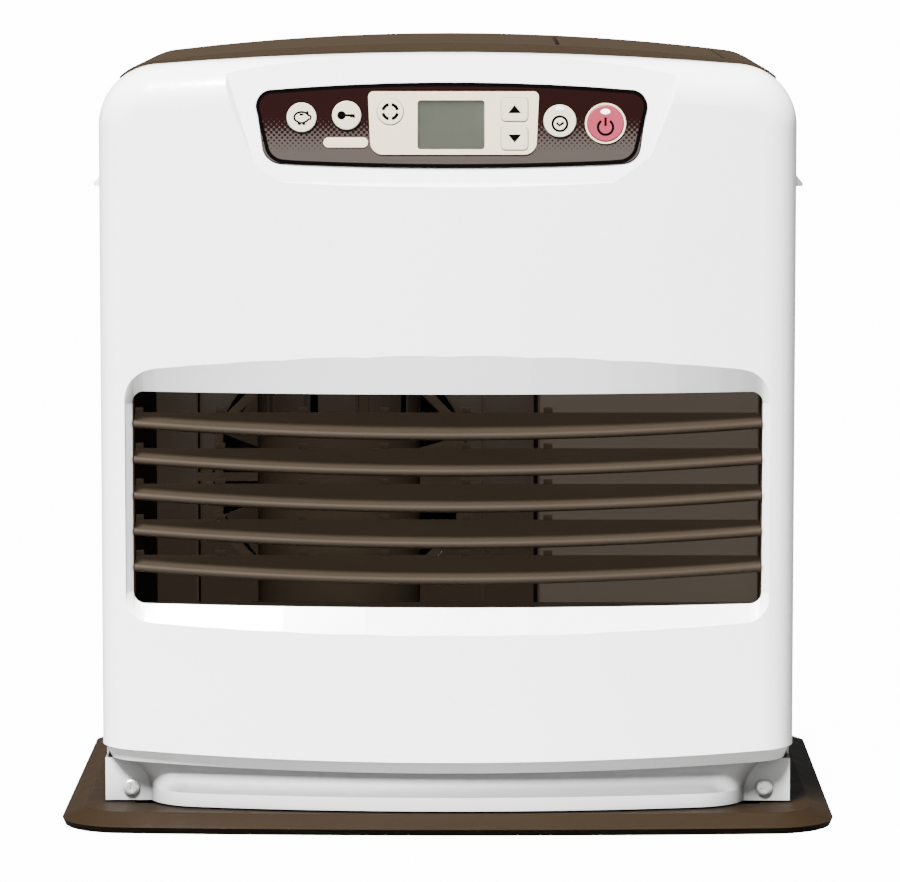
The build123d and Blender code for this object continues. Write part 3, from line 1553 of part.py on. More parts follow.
# Electrics: power board on pillars, transformer, tip-over switch
board_mid_y = (power_board_front_y + power_board_rear_y) / 2
board_mid_z = (power_board_low + power_board_high) / 2
with BuildPart() as power_board:
    with BuildSketch(Plane.YZ.offset(power_board_x)):
        with Locations((board_mid_y, board_mid_z)):
            Rectangle(power_board_rear_y - power_board_front_y, power_board_high - power_board_low)
    extrude(amount=board_thick)
    with BuildSketch(Plane.YZ.offset(power_board_x + board_thick)):
        with Locations((board_mid_y, board_mid_z)):
            with GridLocations(
                power_board_rear_y - power_board_front_y - 4 * post_radius,
                power_board_high - power_board_low - 4 * post_radius,
                2,
                2,
            ):
                Circle(post_radius)
    extrude(amount=skin_inner - power_board_x - board_thick)
    with BuildSketch(Plane.YZ.offset(power_board_x)):
        with Locations((board_mid_y, board_mid_z)):
            with GridLocations(block_pitch_y, block_pitch_z, 3, 3):
                Rectangle(block_length, block_height)
    extrude(amount=-block_rise)
finish(power_board.part, "power_board")

with BuildPart() as ignition_transformer:
    with BuildSketch(Plane.YZ.offset(skin_inner)):
        with Locations((board_mid_y, (transformer_low + transformer_high) / 2)):
            Rectangle(transformer_high - transformer_low, transformer_high - transformer_low)
    extrude(amount=-(skin_inner - power_board_x))
    fillet(ignition_transformer.edges().filter_by(Axis.X), radius=sump_wall)
finish(ignition_transformer.part, "ignition_transformer")

with BuildPart() as tip_over_switch:
    with BuildSketch(Plane.XY.offset(pan_top)):
        with Locations((tip_x, tip_y)):
            Rectangle(tip_housing, tip_housing)
    extrude(amount=tip_wall)
    with BuildSketch(Plane.XY.offset(pan_top)):
        with Locations((tip_x - tip_housing / 2 + tip_wall / 2, tip_y), (tip_x + tip_housing / 2 - tip_wall / 2, tip_y)):
            Rectangle(tip_wall, tip_housing)
    extrude(amount=tip_height)
    with BuildSketch(Plane.YZ.offset(tip_x - tip_housing / 2)):
        with Locations((tip_y, tip_pin_z)):
            Circle(tip_pin_radius)
    extrude(amount=tip_housing)
finish(tip_over_switch.part, "tip_over_switch")

with BuildPart() as tip_weight:
    with BuildSketch(Plane.YZ.offset(tip_x - tip_weight_radius / 2)):
        with Locations((tip_y, tip_pin_z)):
            Circle(tip_eye_radius)
    extrude(amount=tip_weight_radius)
    with BuildSketch(Plane.XY.offset(tip_weight_z)):
        with Locations((tip_x, tip_y)):
            Circle(tip_weight_radius)
    extrude(amount=tip_weight_height)
    with BuildSketch(Plane.XY.offset(tip_weight_z)):
        with Locations((tip_x, tip_y)):
            Circle(tip_eye_radius / 2)
    extrude(amount=tip_pin_z - tip_weight_z)
    with BuildSketch(Plane.YZ.offset(tip_x - tip_weight_radius / 2)):
        with Locations((tip_y, tip_pin_z)):
            Circle(tip_pin_radius + shaft_fit)
    extrude(amount=tip_weight_radius, mode=Mode.SUBTRACT)
finish(tip_weight.part, "tip_weight")
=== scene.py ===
import math

import bpy
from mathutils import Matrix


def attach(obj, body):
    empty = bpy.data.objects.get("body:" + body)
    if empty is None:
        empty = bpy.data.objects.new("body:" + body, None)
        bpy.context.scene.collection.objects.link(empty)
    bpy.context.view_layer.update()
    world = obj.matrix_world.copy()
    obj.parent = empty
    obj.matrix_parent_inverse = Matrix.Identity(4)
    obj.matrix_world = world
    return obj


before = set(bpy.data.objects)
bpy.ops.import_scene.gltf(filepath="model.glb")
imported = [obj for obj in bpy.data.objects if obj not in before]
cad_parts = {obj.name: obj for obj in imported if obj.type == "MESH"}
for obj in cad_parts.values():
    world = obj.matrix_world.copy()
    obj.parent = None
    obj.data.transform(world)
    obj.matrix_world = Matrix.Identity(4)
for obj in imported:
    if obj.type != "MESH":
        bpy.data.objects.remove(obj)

bl_info = {
    "name": "Paraffin heater looks",
    "version": (1, 0, 0),
    "blender": (4, 5, 0),
    "location": "View3D > Sidebar > Heater",
    "description": "Finishes, switch signs, lamps and stage for the paraffin heater",
    "category": "Object",
}

MM = 0.001
FACET_ORIGIN = (0.0023, -0.1305, 0.356)
FACET_TILT = math.radians(10)
CAP_TOP = 2.1 * MM
BORDER_TOP = 0.8 * MM
BORDER_INSET = 0.9
BORDER_WIDTH = 2.0 * MM
BORDER_PROUD = 0.08 * MM
LENS_HALF_SIZE = (2.6 * MM, 1.5 * MM, 0.35 * MM)
LENS_ABOVE_MIDDLE = 6.3
LENS_SUNK = 0.02 * MM
GAUZE_PLACE = (-65 * MM, 139.8 * MM, 170 * MM)
GAUZE_RADIUS = 83 * MM
GAUZE_THICK = 0.4 * MM
GAUZE_RIM = 2 * MM
TEMPER_BANDS = (
    (0.35, (0.014, 0.0098, 0.006)),
    (0.6, (0.011, 0.0076, 0.006)),
    (0.8, (0.009, 0.0078, 0.0066)),
)
# How far the painted shade in coves and narrow gaps reaches
CREVICE_SHADE_REACH = 30 * MM
MIX_FIRST, MIX_SECOND, MIX_RESULT = 6, 7, 2
DOTS_FADE = (16.0 * MM, 19.0 * MM)
DOTS_GROW = (17.5 * MM, 38.5 * MM)
FLOOR_DROP = 0.5 * MM
# Suns: degrees of tilt off the vertical, of turn aside and of spread
OBJECT_SUN_TURN, OBJECT_SUN_SPREAD = -24, 16
FRONT_SUN_AIM = (88, -3, 30)
OUTLET_SUN_AIM = (52, 0, 12)
FLOOR_SUN_AIM = (30, -14, 30)
CAMERA_PLACE = (16.82 * MM, -2846.5 * MM, 510.4 * MM)
CAMERA_TILT = 90 - 6.194
CAMERA_TURN = 0.323
CAMERA_LENS = 200
CAMERA_REACH = 100
BUTTONS = {
    "economy_button": (-81.5, 36.3),
    "lock_button": (-57.0, 37.4),
    "ring_button": (-33.3, 39.4),
    "up_button": (34.3, 40.6),
    "down_button": (34.3, 24.9),
    "timer_button": (58.9, 34.4),
    "power_button": (83.7, 33.1),
}
OUTLET = (
    "louvres", "louvre_frame", "heat_shield", "heat_box", "fan_shroud", "fan_bracket",
    "combustion_chamber", "burner_head", "burner_pot", "convection_fan", "fan_motor", "rear_panel",
)


# Values a user would change


class HeaterColours(bpy.types.PropertyGroup):
    """Colours of the heater's finishes."""

    enamel: bpy.props.FloatVectorProperty(
        name="Cabinet enamel", description="Colour of the white cabinet",
        subtype="COLOR", default=(0.80, 0.80, 0.797), min=0, max=1,
    )
    top: bpy.props.FloatVectorProperty(
        name="Top plate", description="Colour of the brown top and lid",
        subtype="COLOR", default=(0.0135, 0.0092, 0.0056), min=0, max=1,
    )
    tray: bpy.props.FloatVectorProperty(
        name="Drip tray", description="Colour of the drip tray",
        subtype="COLOR", default=(0.0085, 0.0050, 0.0022), min=0, max=1,
    )
    # The duct behind the louvres takes this colour as painted shade
    louvre: bpy.props.FloatVectorProperty(
        name="Louvres", description="Colour of the louvres and the duct behind them",
        subtype="COLOR", default=(0.0120, 0.0088, 0.0060), min=0, max=1,
    )
    shield: bpy.props.FloatVectorProperty(
        name="Heat shield", description="Colour of the plate behind the louvres",
        subtype="COLOR", default=(0.0195, 0.0160, 0.0125), min=0, max=1,
    )
    fascia_dark: bpy.props.FloatVectorProperty(
        name="Fascia, upper", description="Dark upper colour of the control fascia",
        subtype="COLOR", default=(0.0050, 0.0009, 0.0007), min=0, max=1,
    )
    fascia_light: bpy.props.FloatVectorProperty(
        name="Fascia, lower", description="Taupe lower colour of the control fascia",
        subtype="COLOR", default=(0.031, 0.0255, 0.0225), min=0, max=1,
    )
    cream: bpy.props.FloatVectorProperty(
        name="Fascia trims", description="Colour of the cream display surround and pill",
        subtype="COLOR", default=(0.38, 0.32, 0.22), min=0, max=1,
    )
    button: bpy.props.FloatVectorProperty(
        name="Buttons", description="Colour of the pale buttons",
        subtype="COLOR", default=(0.38, 0.335, 0.255), min=0, max=1,
    )
    pink: bpy.props.FloatVectorProperty(
        name="Power button", description="Colour of the power button",
        subtype="COLOR", default=(0.165, 0.016, 0.032), min=0, max=1,
    )


class HeaterSizes(bpy.types.PropertyGroup):
    """Sizes of the printed signs and the halftone."""

    halftone_pitch: bpy.props.FloatProperty(
        name="Halftone pitch", description="Distance between the fascia's printed dots",
        default=2.1 * MM, min=0.5 * MM, max=5 * MM, unit="LENGTH",
    )
    sign_line: bpy.props.FloatProperty(
        name="Sign line", description="Line width of the printed signs",
        default=1.3 * MM, min=0.1 * MM, max=2 * MM, unit="LENGTH",
    )
    sign_proud: bpy.props.FloatProperty(
        name="Sign height", description="How far the printed signs stand off the buttons",
        default=0.06 * MM, min=0.01 * MM, max=0.3 * MM, unit="LENGTH",
    )
    floor_size: bpy.props.FloatProperty(
        name="Floor size", description="Width of the studio floor",
        default=80.0, min=2, max=200, unit="LENGTH",
    )


class HeaterStage(bpy.types.PropertyGroup):
    """Light on the stage."""

    sun: bpy.props.FloatProperty(
        name="Sun", description="Strength of the soft sun on the heater",
        default=30.0, min=0, max=100,
    )
    sun_height: bpy.props.FloatProperty(
        name="Sun height", description="Degrees of the sun above the horizon",
        default=56.0, min=0, max=90,
    )
    front_sun: bpy.props.FloatProperty(
        name="Front sun", description="Strength of the low sun on the heater",
        default=1.2, min=0, max=100,
    )
    outlet_sun: bpy.props.FloatProperty(
        name="Outlet sun", description="Strength of the light in the outlet",
        default=12.0, min=0, max=100,
    )
    floor_sun: bpy.props.FloatProperty(
        name="Floor sun", description="Strength of the soft sun on the floor",
        default=1.6, min=0, max=100,
    )
    floor_glow: bpy.props.FloatProperty(
        name="Floor glow", description="How far the floor is lifted to white in the picture",
        default=14.0, min=0, max=50,
    )
    ambient: bpy.props.FloatProperty(
        name="Ambient", description="Strength of the light from all round",
        default=0.33, min=0, max=10,
    )


# Finishes


def new_finish(name):
    """A node material and the parts of it that every finish uses."""
    material = bpy.data.materials.new(name)
    material.use_nodes = True
    nodes = material.node_tree.nodes
    links = material.node_tree.links
    shader = nodes["Principled BSDF"]
    place = nodes.new("ShaderNodeTexCoord")
    return material, nodes, links, shader, place


def noise(nodes, links, place, scale, detail=3.0, roughness=0.55, stretch=None):
    """A noise in object space; stretch squeezes it along an axis."""
    texture = nodes.new("ShaderNodeTexNoise")
    texture.inputs["Scale"].default_value = scale
    texture.inputs["Detail"].default_value = detail
    texture.inputs["Roughness"].default_value = roughness
    source = place.outputs["Object"]
    if stretch:
        mapping = nodes.new("ShaderNodeMapping")
        mapping.inputs["Scale"].default_value = stretch
        links.new(source, mapping.inputs["Vector"])
        source = mapping.outputs["Vector"]
    links.new(source, texture.inputs["Vector"])
    return texture.outputs["Fac"]


def ramp(nodes, links, value, low, high, out_low, out_high):
    """A value carried from one range to another."""
    node = nodes.new("ShaderNodeMapRange")
    links.new(value, node.inputs["Value"])
    node.inputs["From Min"].default_value = low
    node.inputs["From Max"].default_value = high
    node.inputs["To Min"].default_value = out_low
    node.inputs["To Max"].default_value = out_high
    return node.outputs["Result"]


def mix_colour(nodes, links, fac, first, second):
    """Two colours, or a colour and a socket, mixed by a value."""
    node = nodes.new("ShaderNodeMix")
    node.data_type = "RGBA"
    links.new(fac, node.inputs["Factor"])
    for socket, colour in ((node.inputs[MIX_FIRST], first), (node.inputs[MIX_SECOND], second)):
        if isinstance(colour, bpy.types.NodeSocket):
            links.new(colour, socket)
        else:
            socket.default_value = (*colour, 1)
    return node.outputs[MIX_RESULT]


def bump(nodes, links, shader, height, strength, distance=0.0002):
    """A bump from a height value."""
    node = nodes.new("ShaderNodeBump")
    node.inputs["Strength"].default_value = strength
    node.inputs["Distance"].default_value = distance
    links.new(height, node.inputs["Height"])
    links.new(node.outputs["Normal"], shader.inputs["Normal"])


def shade(colour, factor):
    """A colour made lighter or darker."""
    return tuple(min(1.0, c * factor) for c in colour)


def worn_edges(nodes, links, base, worn, amount):
    """The base colour turned to the worn one along sharp edges."""
    geometry = nodes.new("ShaderNodeNewGeometry")
    edge = ramp(nodes, links, geometry.outputs["Pointiness"], 0.52, 0.60, 0.0, amount)
    return mix_colour(nodes, links, edge, base, worn)


def painted_crevice_shade(nodes, links, base, shade_colour):
    """Painted shade: the base colour turned to a darker one in coves and narrow gaps, by ambient
    occlusion.
    """
    occlusion = nodes.new("ShaderNodeAmbientOcclusion")
    occlusion.inputs["Distance"].default_value = CREVICE_SHADE_REACH
    clear = ramp(nodes, links, occlusion.outputs["AO"], 0.25, 0.85, 0.0, 1.0)
    return mix_colour(nodes, links, clear, shade_colour, base)


def enamel_finish(name, colour, rough=0.3, coat=0.35, peel=0.05, gloss=0.5, ledge_shade=1.0, inside=None):
    """Stove enamel with a fine orange peel and faint clouds, with painted shade in coves and
    narrow gaps, on upward-facing ledges and on faces turned to the front.
    """
    material, nodes, links, shader, place = new_finish(name)
    cloud = noise(nodes, links, place, 9.0, 2.0)
    tint = mix_colour(nodes, links, cloud, shade(colour, 0.97), shade(colour, 1.03))
    tint = worn_edges(nodes, links, tint, shade(colour, 1.08), 0.4)
    facing = nodes.new("ShaderNodeSeparateXYZ")
    links.new(nodes.new("ShaderNodeNewGeometry").outputs["Normal"], facing.inputs["Vector"])
    # Painted shade: upward-facing ledges turn to a copy of the colour scaled by the ledge factor
    ledge_shade_mask = ramp(nodes, links, facing.outputs["Z"], 0.1, 0.6, 0.0, 1.0)
    tint = mix_colour(nodes, links, ledge_shade_mask, tint, shade(colour, ledge_shade))
    # Painted shade: coves and narrow gaps turn to a darker copy of the colour
    tint = painted_crevice_shade(nodes, links, tint, shade(colour, 0.22))
    # Painted shade: faces turned to the front, such as the rear panel's inner face, take the given
    # dark colour
    if inside:
        inner = ramp(nodes, links, facing.outputs["Y"], -0.6, -0.4, 1.0, 0.0)
        tint = mix_colour(nodes, links, inner, tint, inside)
    links.new(tint, shader.inputs["Base Color"])
    patch = noise(nodes, links, place, 60.0)
    polish = ramp(nodes, links, patch, 0.3, 0.7, rough - 0.03, rough + 0.04)
    links.new(polish, shader.inputs["Roughness"])
    shader.inputs["Coat Weight"].default_value = coat
    shader.inputs["Coat Roughness"].default_value = 0.12
    shader.inputs["Specular IOR Level"].default_value = gloss
    bump(nodes, links, shader, noise(nodes, links, place, 520.0, 1.0), peel)
    return material


def grained_plastic(name, colour, rough=0.5, grain=900.0, depth=0.18, gloss=0.4):
    """Moulded plastic with a fine spark-eroded grain."""
    material, nodes, links, shader, place = new_finish(name)
    cloud = noise(nodes, links, place, 14.0, 3.0)
    speck = noise(nodes, links, place, grain * 0.5, 2.0)
    tint = mix_colour(nodes, links, cloud, shade(colour, 0.94), shade(colour, 1.06))
    specks = ramp(nodes, links, speck, 0.35, 0.65, 0.0, 0.2)
    tint = mix_colour(nodes, links, specks, tint, shade(colour, 1.25))
    tint = worn_edges(nodes, links, tint, shade(colour, 1.35), 0.35)
    links.new(tint, shader.inputs["Base Color"])
    polish = ramp(nodes, links, cloud, 0.3, 0.7, rough - 0.05, rough + 0.06)
    links.new(polish, shader.inputs["Roughness"])
    shader.inputs["Specular IOR Level"].default_value = gloss
    bump(nodes, links, shader, noise(nodes, links, place, grain, 1.0), depth, 0.0001)
    return material


def sheet_metal(name, colour, rough=0.35, brushed=(1, 1, 1), spangle=0.0):
    """Plated or bare sheet, with a rolling grain or zinc spangle."""
    material, nodes, links, shader, place = new_finish(name)
    shader.inputs["Metallic"].default_value = 0.9
    streak = noise(nodes, links, place, 160.0, 4.0, 0.6, brushed)
    tint = mix_colour(nodes, links, streak, shade(colour, 0.86), shade(colour, 1.1))
    if spangle:
        cells = nodes.new("ShaderNodeTexVoronoi")
        cells.inputs["Scale"].default_value = spangle
        links.new(place.outputs["Object"], cells.inputs["Vector"])
        flake = ramp(nodes, links, cells.outputs["Color"], 0.0, 1.0, 0.0, 0.45)
        tint = mix_colour(nodes, links, flake, tint, shade(colour, 0.7))
    links.new(tint, shader.inputs["Base Color"])
    polish = ramp(nodes, links, streak, 0.3, 0.7, rough - 0.08, rough + 0.1)
    links.new(polish, shader.inputs["Roughness"])
    bump(nodes, links, shader, streak, 0.08, 0.0001)
    return material


def heated_steel(name, colour, hot_low, hot_high):
    """Sooted heat-resisting steel with faint brown tempering bands up its height."""
    material, nodes, links, shader, place = new_finish(name)
    shader.inputs["Specular IOR Level"].default_value = 0.1
    split = nodes.new("ShaderNodeSeparateXYZ")
    links.new(place.outputs["Object"], split.inputs["Vector"])
    height = ramp(nodes, links, split.outputs["Z"], hot_low, hot_high, 0.0, 1.0)
    wander = ramp(nodes, links, noise(nodes, links, place, 22.0), 0.0, 1.0, -0.2, 0.2)
    total = nodes.new("ShaderNodeMath")
    links.new(height, total.inputs[0])
    links.new(wander, total.inputs[1])
    bands = nodes.new("ShaderNodeValToRGB")
    stops = bands.color_ramp.elements
    stops[0].color = (*colour, 1)
    stops[1].color = (*shade(colour, 0.7), 1)
    for at, stop in TEMPER_BANDS:
        stops.new(at).color = (*stop, 1)
    links.new(total.outputs["Value"], bands.inputs["Fac"])
    links.new(bands.outputs["Color"], shader.inputs["Base Color"])
    scale = noise(nodes, links, place, 90.0)
    links.new(ramp(nodes, links, scale, 0.3, 0.7, 0.35, 0.55), shader.inputs["Roughness"])
    bump(nodes, links, shader, noise(nodes, links, place, 300.0), 0.12, 0.0001)
    return material


def cast_metal(name, colour):
    """Rough cast metal."""
    material, nodes, links, shader, place = new_finish(name)
    shader.inputs["Metallic"].default_value = 0.6
    lump = noise(nodes, links, place, 260.0, 5.0, 0.7)
    tint = mix_colour(nodes, links, lump, shade(colour, 0.7), shade(colour, 1.3))
    links.new(tint, shader.inputs["Base Color"])
    links.new(ramp(nodes, links, lump, 0.3, 0.7, 0.5, 0.75), shader.inputs["Roughness"])
    bump(nodes, links, shader, lump, 0.5, 0.0004)
    return material


def soft_rubber(name, colour):
    """Moulded rubber with a dusty bloom."""
    material, nodes, links, shader, place = new_finish(name)
    bloom = noise(nodes, links, place, 70.0, 5.0, 0.65)
    tint = mix_colour(nodes, links, bloom, colour, shade(colour, 2.2))
    links.new(tint, shader.inputs["Base Color"])
    shader.inputs["Roughness"].default_value = 0.8
    bump(nodes, links, shader, noise(nodes, links, place, 800.0), 0.2, 0.0001)
    return material


def clear_finish(name, colour, rough=0.05):
    """Clear or smoked plastic."""
    material, nodes, links, shader, place = new_finish(name)
    haze = noise(nodes, links, place, 40.0, 3.0)
    tint = mix_colour(nodes, links, haze, shade(colour, 0.97), colour)
    links.new(tint, shader.inputs["Base Color"])
    shader.inputs["Transmission Weight"].default_value = 1.0
    shader.inputs["IOR"].default_value = 1.46
    links.new(ramp(nodes, links, haze, 0.3, 0.7, rough, rough + 0.04), shader.inputs["Roughness"])
    return material


def facet_coordinates(nodes, links, place):
    """The fascia's own flat coordinates, in metres: x to the right and y up the facet."""
    mapping = nodes.new("ShaderNodeMapping")
    mapping.vector_type = "TEXTURE"
    mapping.inputs["Location"].default_value = FACET_ORIGIN
    mapping.inputs["Rotation"].default_value = (math.pi / 2 - FACET_TILT, 0, 0)
    links.new(place.outputs["Object"], mapping.inputs["Vector"])
    return mapping.outputs["Vector"]


def fascia_finish(name, dark, light, pitch):
    """Printed fascia: dark above, taupe below, with a halftone of dots between them."""
    material, nodes, links, shader, place = new_finish(name)
    flat = facet_coordinates(nodes, links, place)
    turned = nodes.new("ShaderNodeMapping")
    turned.inputs["Rotation"].default_value = (0, 0, math.radians(45))
    turned.inputs["Scale"].default_value = (1 / pitch, 1 / pitch, 0)
    links.new(flat, turned.inputs["Vector"])
    cell = nodes.new("ShaderNodeVectorMath")
    cell.operation = "FRACTION"
    links.new(turned.outputs["Vector"], cell.inputs[0])
    centred = nodes.new("ShaderNodeVectorMath")
    centred.operation = "SUBTRACT"
    centred.inputs[1].default_value = (0.5, 0.5, 0)
    links.new(cell.outputs["Vector"], centred.inputs[0])
    length = nodes.new("ShaderNodeVectorMath")
    length.operation = "LENGTH"
    links.new(centred.outputs["Vector"], length.inputs[0])
    split = nodes.new("ShaderNodeSeparateXYZ")
    links.new(flat, split.inputs["Vector"])
    radius = ramp(nodes, links, split.outputs["Y"], *DOTS_GROW, 0.06, 0.74)
    edge = nodes.new("ShaderNodeMath")
    edge.operation = "SUBTRACT"
    links.new(radius, edge.inputs[0])
    links.new(length.outputs["Value"], edge.inputs[1])
    inked = ramp(nodes, links, edge.outputs["Value"], -0.04, 0.04, 0.0, 1.0)
    fade = ramp(nodes, links, split.outputs["Y"], *DOTS_FADE, 0.0, 1.0)
    both = nodes.new("ShaderNodeMath")
    both.operation = "MULTIPLY"
    links.new(inked, both.inputs[0])
    links.new(fade, both.inputs[1])
    cloud = noise(nodes, links, place, 30.0)
    ink = mix_colour(nodes, links, cloud, shade(dark, 0.9), shade(dark, 1.15))
    tint = mix_colour(nodes, links, both.outputs["Value"], light, ink)
    links.new(tint, shader.inputs["Base Color"])
    shader.inputs["Roughness"].default_value = 0.4
    shader.inputs["Specular IOR Level"].default_value = 0.04
    bump(nodes, links, shader, noise(nodes, links, place, 1500.0, 1.0), 0.05, 0.0001)
    return material


def louvre_finish(name, colour):
    """Dark matt enamel, a little lighter along its edges."""
    material, nodes, links, shader, place = new_finish(name)
    cloud = noise(nodes, links, place, 12.0, 3.0)
    tint = mix_colour(nodes, links, cloud, shade(colour, 0.85), shade(colour, 1.15))
    links.new(worn_edges(nodes, links, tint, shade(colour, 1.6), 0.5), shader.inputs["Base Color"])
    shader.inputs["Roughness"].default_value = 0.6
    shader.inputs["Specular IOR Level"].default_value = 0.05
    bump(nodes, links, shader, noise(nodes, links, place, 480.0, 1.0), 0.08)
    return material


def display_finish(name):
    """The grey-green liquid crystal panel with its faint vertical sheen."""
    material, nodes, links, shader, place = new_finish(name)
    grain = noise(nodes, links, place, 25.0, 2.0, 0.5, (1, 1, 0.3))
    tint = mix_colour(nodes, links, grain, (0.165, 0.168, 0.130), (0.19, 0.194, 0.150))
    links.new(tint, shader.inputs["Base Color"])
    shader.inputs["Roughness"].default_value = 0.45
    return material


def board_finish(name):
    """Circuit board: green solder resist with lighter tracks."""
    material, nodes, links, shader, place = new_finish(name)
    tracks = nodes.new("ShaderNodeTexBrick")
    tracks.inputs["Scale"].default_value = 260.0
    tracks.inputs["Color1"].default_value = (0.02, 0.11, 0.05, 1)
    tracks.inputs["Color2"].default_value = (0.018, 0.09, 0.04, 1)
    tracks.inputs["Mortar"].default_value = (0.06, 0.2, 0.09, 1)
    links.new(place.outputs["Object"], tracks.inputs["Vector"])
    links.new(tracks.outputs["Color"], shader.inputs["Base Color"])
    shader.inputs["Roughness"].default_value = 0.35
    return material


def gauze_finish(name, colour):
    """Woven filter gauze: fine square threads crossing."""
    material, nodes, links, shader, place = new_finish(name)
    heights = []
    for direction in ("X", "Z"):
        wave = nodes.new("ShaderNodeTexWave")
        wave.bands_direction = direction
        wave.inputs["Scale"].default_value = 250.0
        wave.inputs["Distortion"].default_value = 0.4
        links.new(place.outputs["Object"], wave.inputs["Vector"])
        heights.append(wave.outputs["Fac"])
    weave = nodes.new("ShaderNodeMath")
    weave.operation = "MAXIMUM"
    links.new(heights[0], weave.inputs[0])
    links.new(heights[1], weave.inputs[1])
    tint = mix_colour(nodes, links, weave.outputs["Value"], shade(colour, 0.3), shade(colour, 1.6))
    links.new(tint, shader.inputs["Base Color"])
    shader.inputs["Roughness"].default_value = 0.7
    bump(nodes, links, shader, weave.outputs["Value"], 0.6, 0.0002)
    return material


def glow_finish(name, colour, strength):
    """A lamp's lens, lit softly."""
    material, nodes, links, shader, place = new_finish(name)
    haze = noise(nodes, links, place, 700.0, 2.0)
    tint = mix_colour(nodes, links, haze, shade(colour, 0.92), colour)
    links.new(tint, shader.inputs["Base Color"])
    shader.inputs["Emission Color"].default_value = (*colour, 1)
    shader.inputs["Emission Strength"].default_value = strength
    shader.inputs["Roughness"].default_value = 0.2
    return material


# Modelling helpers


def deselect_all():
    """Nothing selected, object mode."""
    if bpy.context.object and bpy.context.object.mode != "OBJECT":
        bpy.ops.object.mode_set(mode="OBJECT")
    bpy.ops.object.select_all(action="DESELECT")


def dress(node, material):
    """Gives a carried-over node its finish."""
    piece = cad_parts[node]
    piece.data.materials.clear()
    piece.data.materials.append(material)


def settle(piece, name, material, body):
    """Names a new piece, moves its place into its mesh, and hands it to a body."""
    piece.name = name
    piece.data.name = name
    deselect_all()
    piece.select_set(True)
    bpy.context.view_layer.objects.active = piece
    bpy.ops.object.transform_apply(location=True, rotation=True, scale=True)
    piece.data.materials.clear()
    piece.data.materials.append(material)
    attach(piece, body)


def on_facet(piece, x, y, height):
    """Turns a flat piece onto the control facet, at x, y in millimetres and a height in metres."""
    up = (0, math.sin(FACET_TILT), math.cos(FACET_TILT))
    out = (0, -math.cos(FACET_TILT), math.sin(FACET_TILT))
    piece.rotation_euler = (math.pi / 2 - FACET_TILT, 0, 0)
    piece.location = (
        FACET_ORIGIN[0] + x * MM,
        FACET_ORIGIN[1] + up[1] * y * MM + out[1] * height,
        FACET_ORIGIN[2] + up[2] * y * MM + out[2] * height,
    )


def arc_line(centre, radius, start, end, steps=28):
    """Points along an arc, in millimetres, with angles in degrees."""
    points = []
    for index in range(steps + 1):
        turn = math.radians(start + (end - start) * index / steps)
        points.append((centre[0] + radius * math.cos(turn), centre[1] + radius * math.sin(turn)))
    return points


def raised_line(lines, width, height):
    """Flat raised ribbons along runs of points, as one mesh object at the origin."""
    vertices = []
    faces = []
    half = width / MM / 2
    for points, closed in lines:
        count = len(points)
        first = len(vertices)
        for index, (x, y) in enumerate(points):
            before = points[index - 1] if closed or index > 0 else points[index]
            after = points[(index + 1) % count] if closed or index < count - 1 else points[index]
            dx, dy = after[0] - before[0], after[1] - before[1]
            size = math.hypot(dx, dy) or 1
            nx, ny = -dy / size, dx / size
            for side, level in ((half, 0), (-half, 0), (half, 1), (-half, 1)):
                vertices.append(((x + nx * side) * MM, (y + ny * side) * MM, level * height))
        spans = count if closed else count - 1
        for index in range(spans):
            a = first + 4 * index
            b = first + 4 * ((index + 1) % count)
            faces += [(a + 1, b + 1, b, a), (a + 2, b + 2, b + 3, a + 3)]
            faces += [(a, b, b + 2, a + 2), (a + 3, b + 3, b + 1, a + 1)]
        if not closed:
            last = first + 4 * (count - 1)
            faces += [(first, first + 2, first + 3, first + 1)]
            faces += [(last + 1, last + 3, last + 2, last)]
    return mesh_object(vertices, faces)


def raised_shape(outline, height):
    """A flat raised shape from one outline, as a mesh object at the origin."""
    count = len(outline)
    vertices = [(x * MM, y * MM, level) for level in (0, height) for x, y in outline]
    faces = [tuple(reversed(range(count))), tuple(range(count, 2 * count))]
    faces += [(i, (i + 1) % count, count + (i + 1) % count, count + i) for i in range(count)]
    return mesh_object(vertices, faces)


def mesh_object(vertices, faces):
    """A mesh object whose faces point outwards."""
    mesh = bpy.data.meshes.new("piece")
    mesh.from_pydata(vertices, [], faces)
    piece = bpy.data.objects.new("piece", mesh)
    bpy.context.scene.collection.objects.link(piece)
    deselect_all()
    piece.select_set(True)
    bpy.context.view_layer.objects.active = piece
    bpy.ops.object.mode_set(mode="EDIT")
    bpy.ops.mesh.select_all(action="SELECT")
    bpy.ops.mesh.normals_make_consistent(inside=False)
    bpy.ops.object.mode_set(mode="OBJECT")
    return piece


# Operators


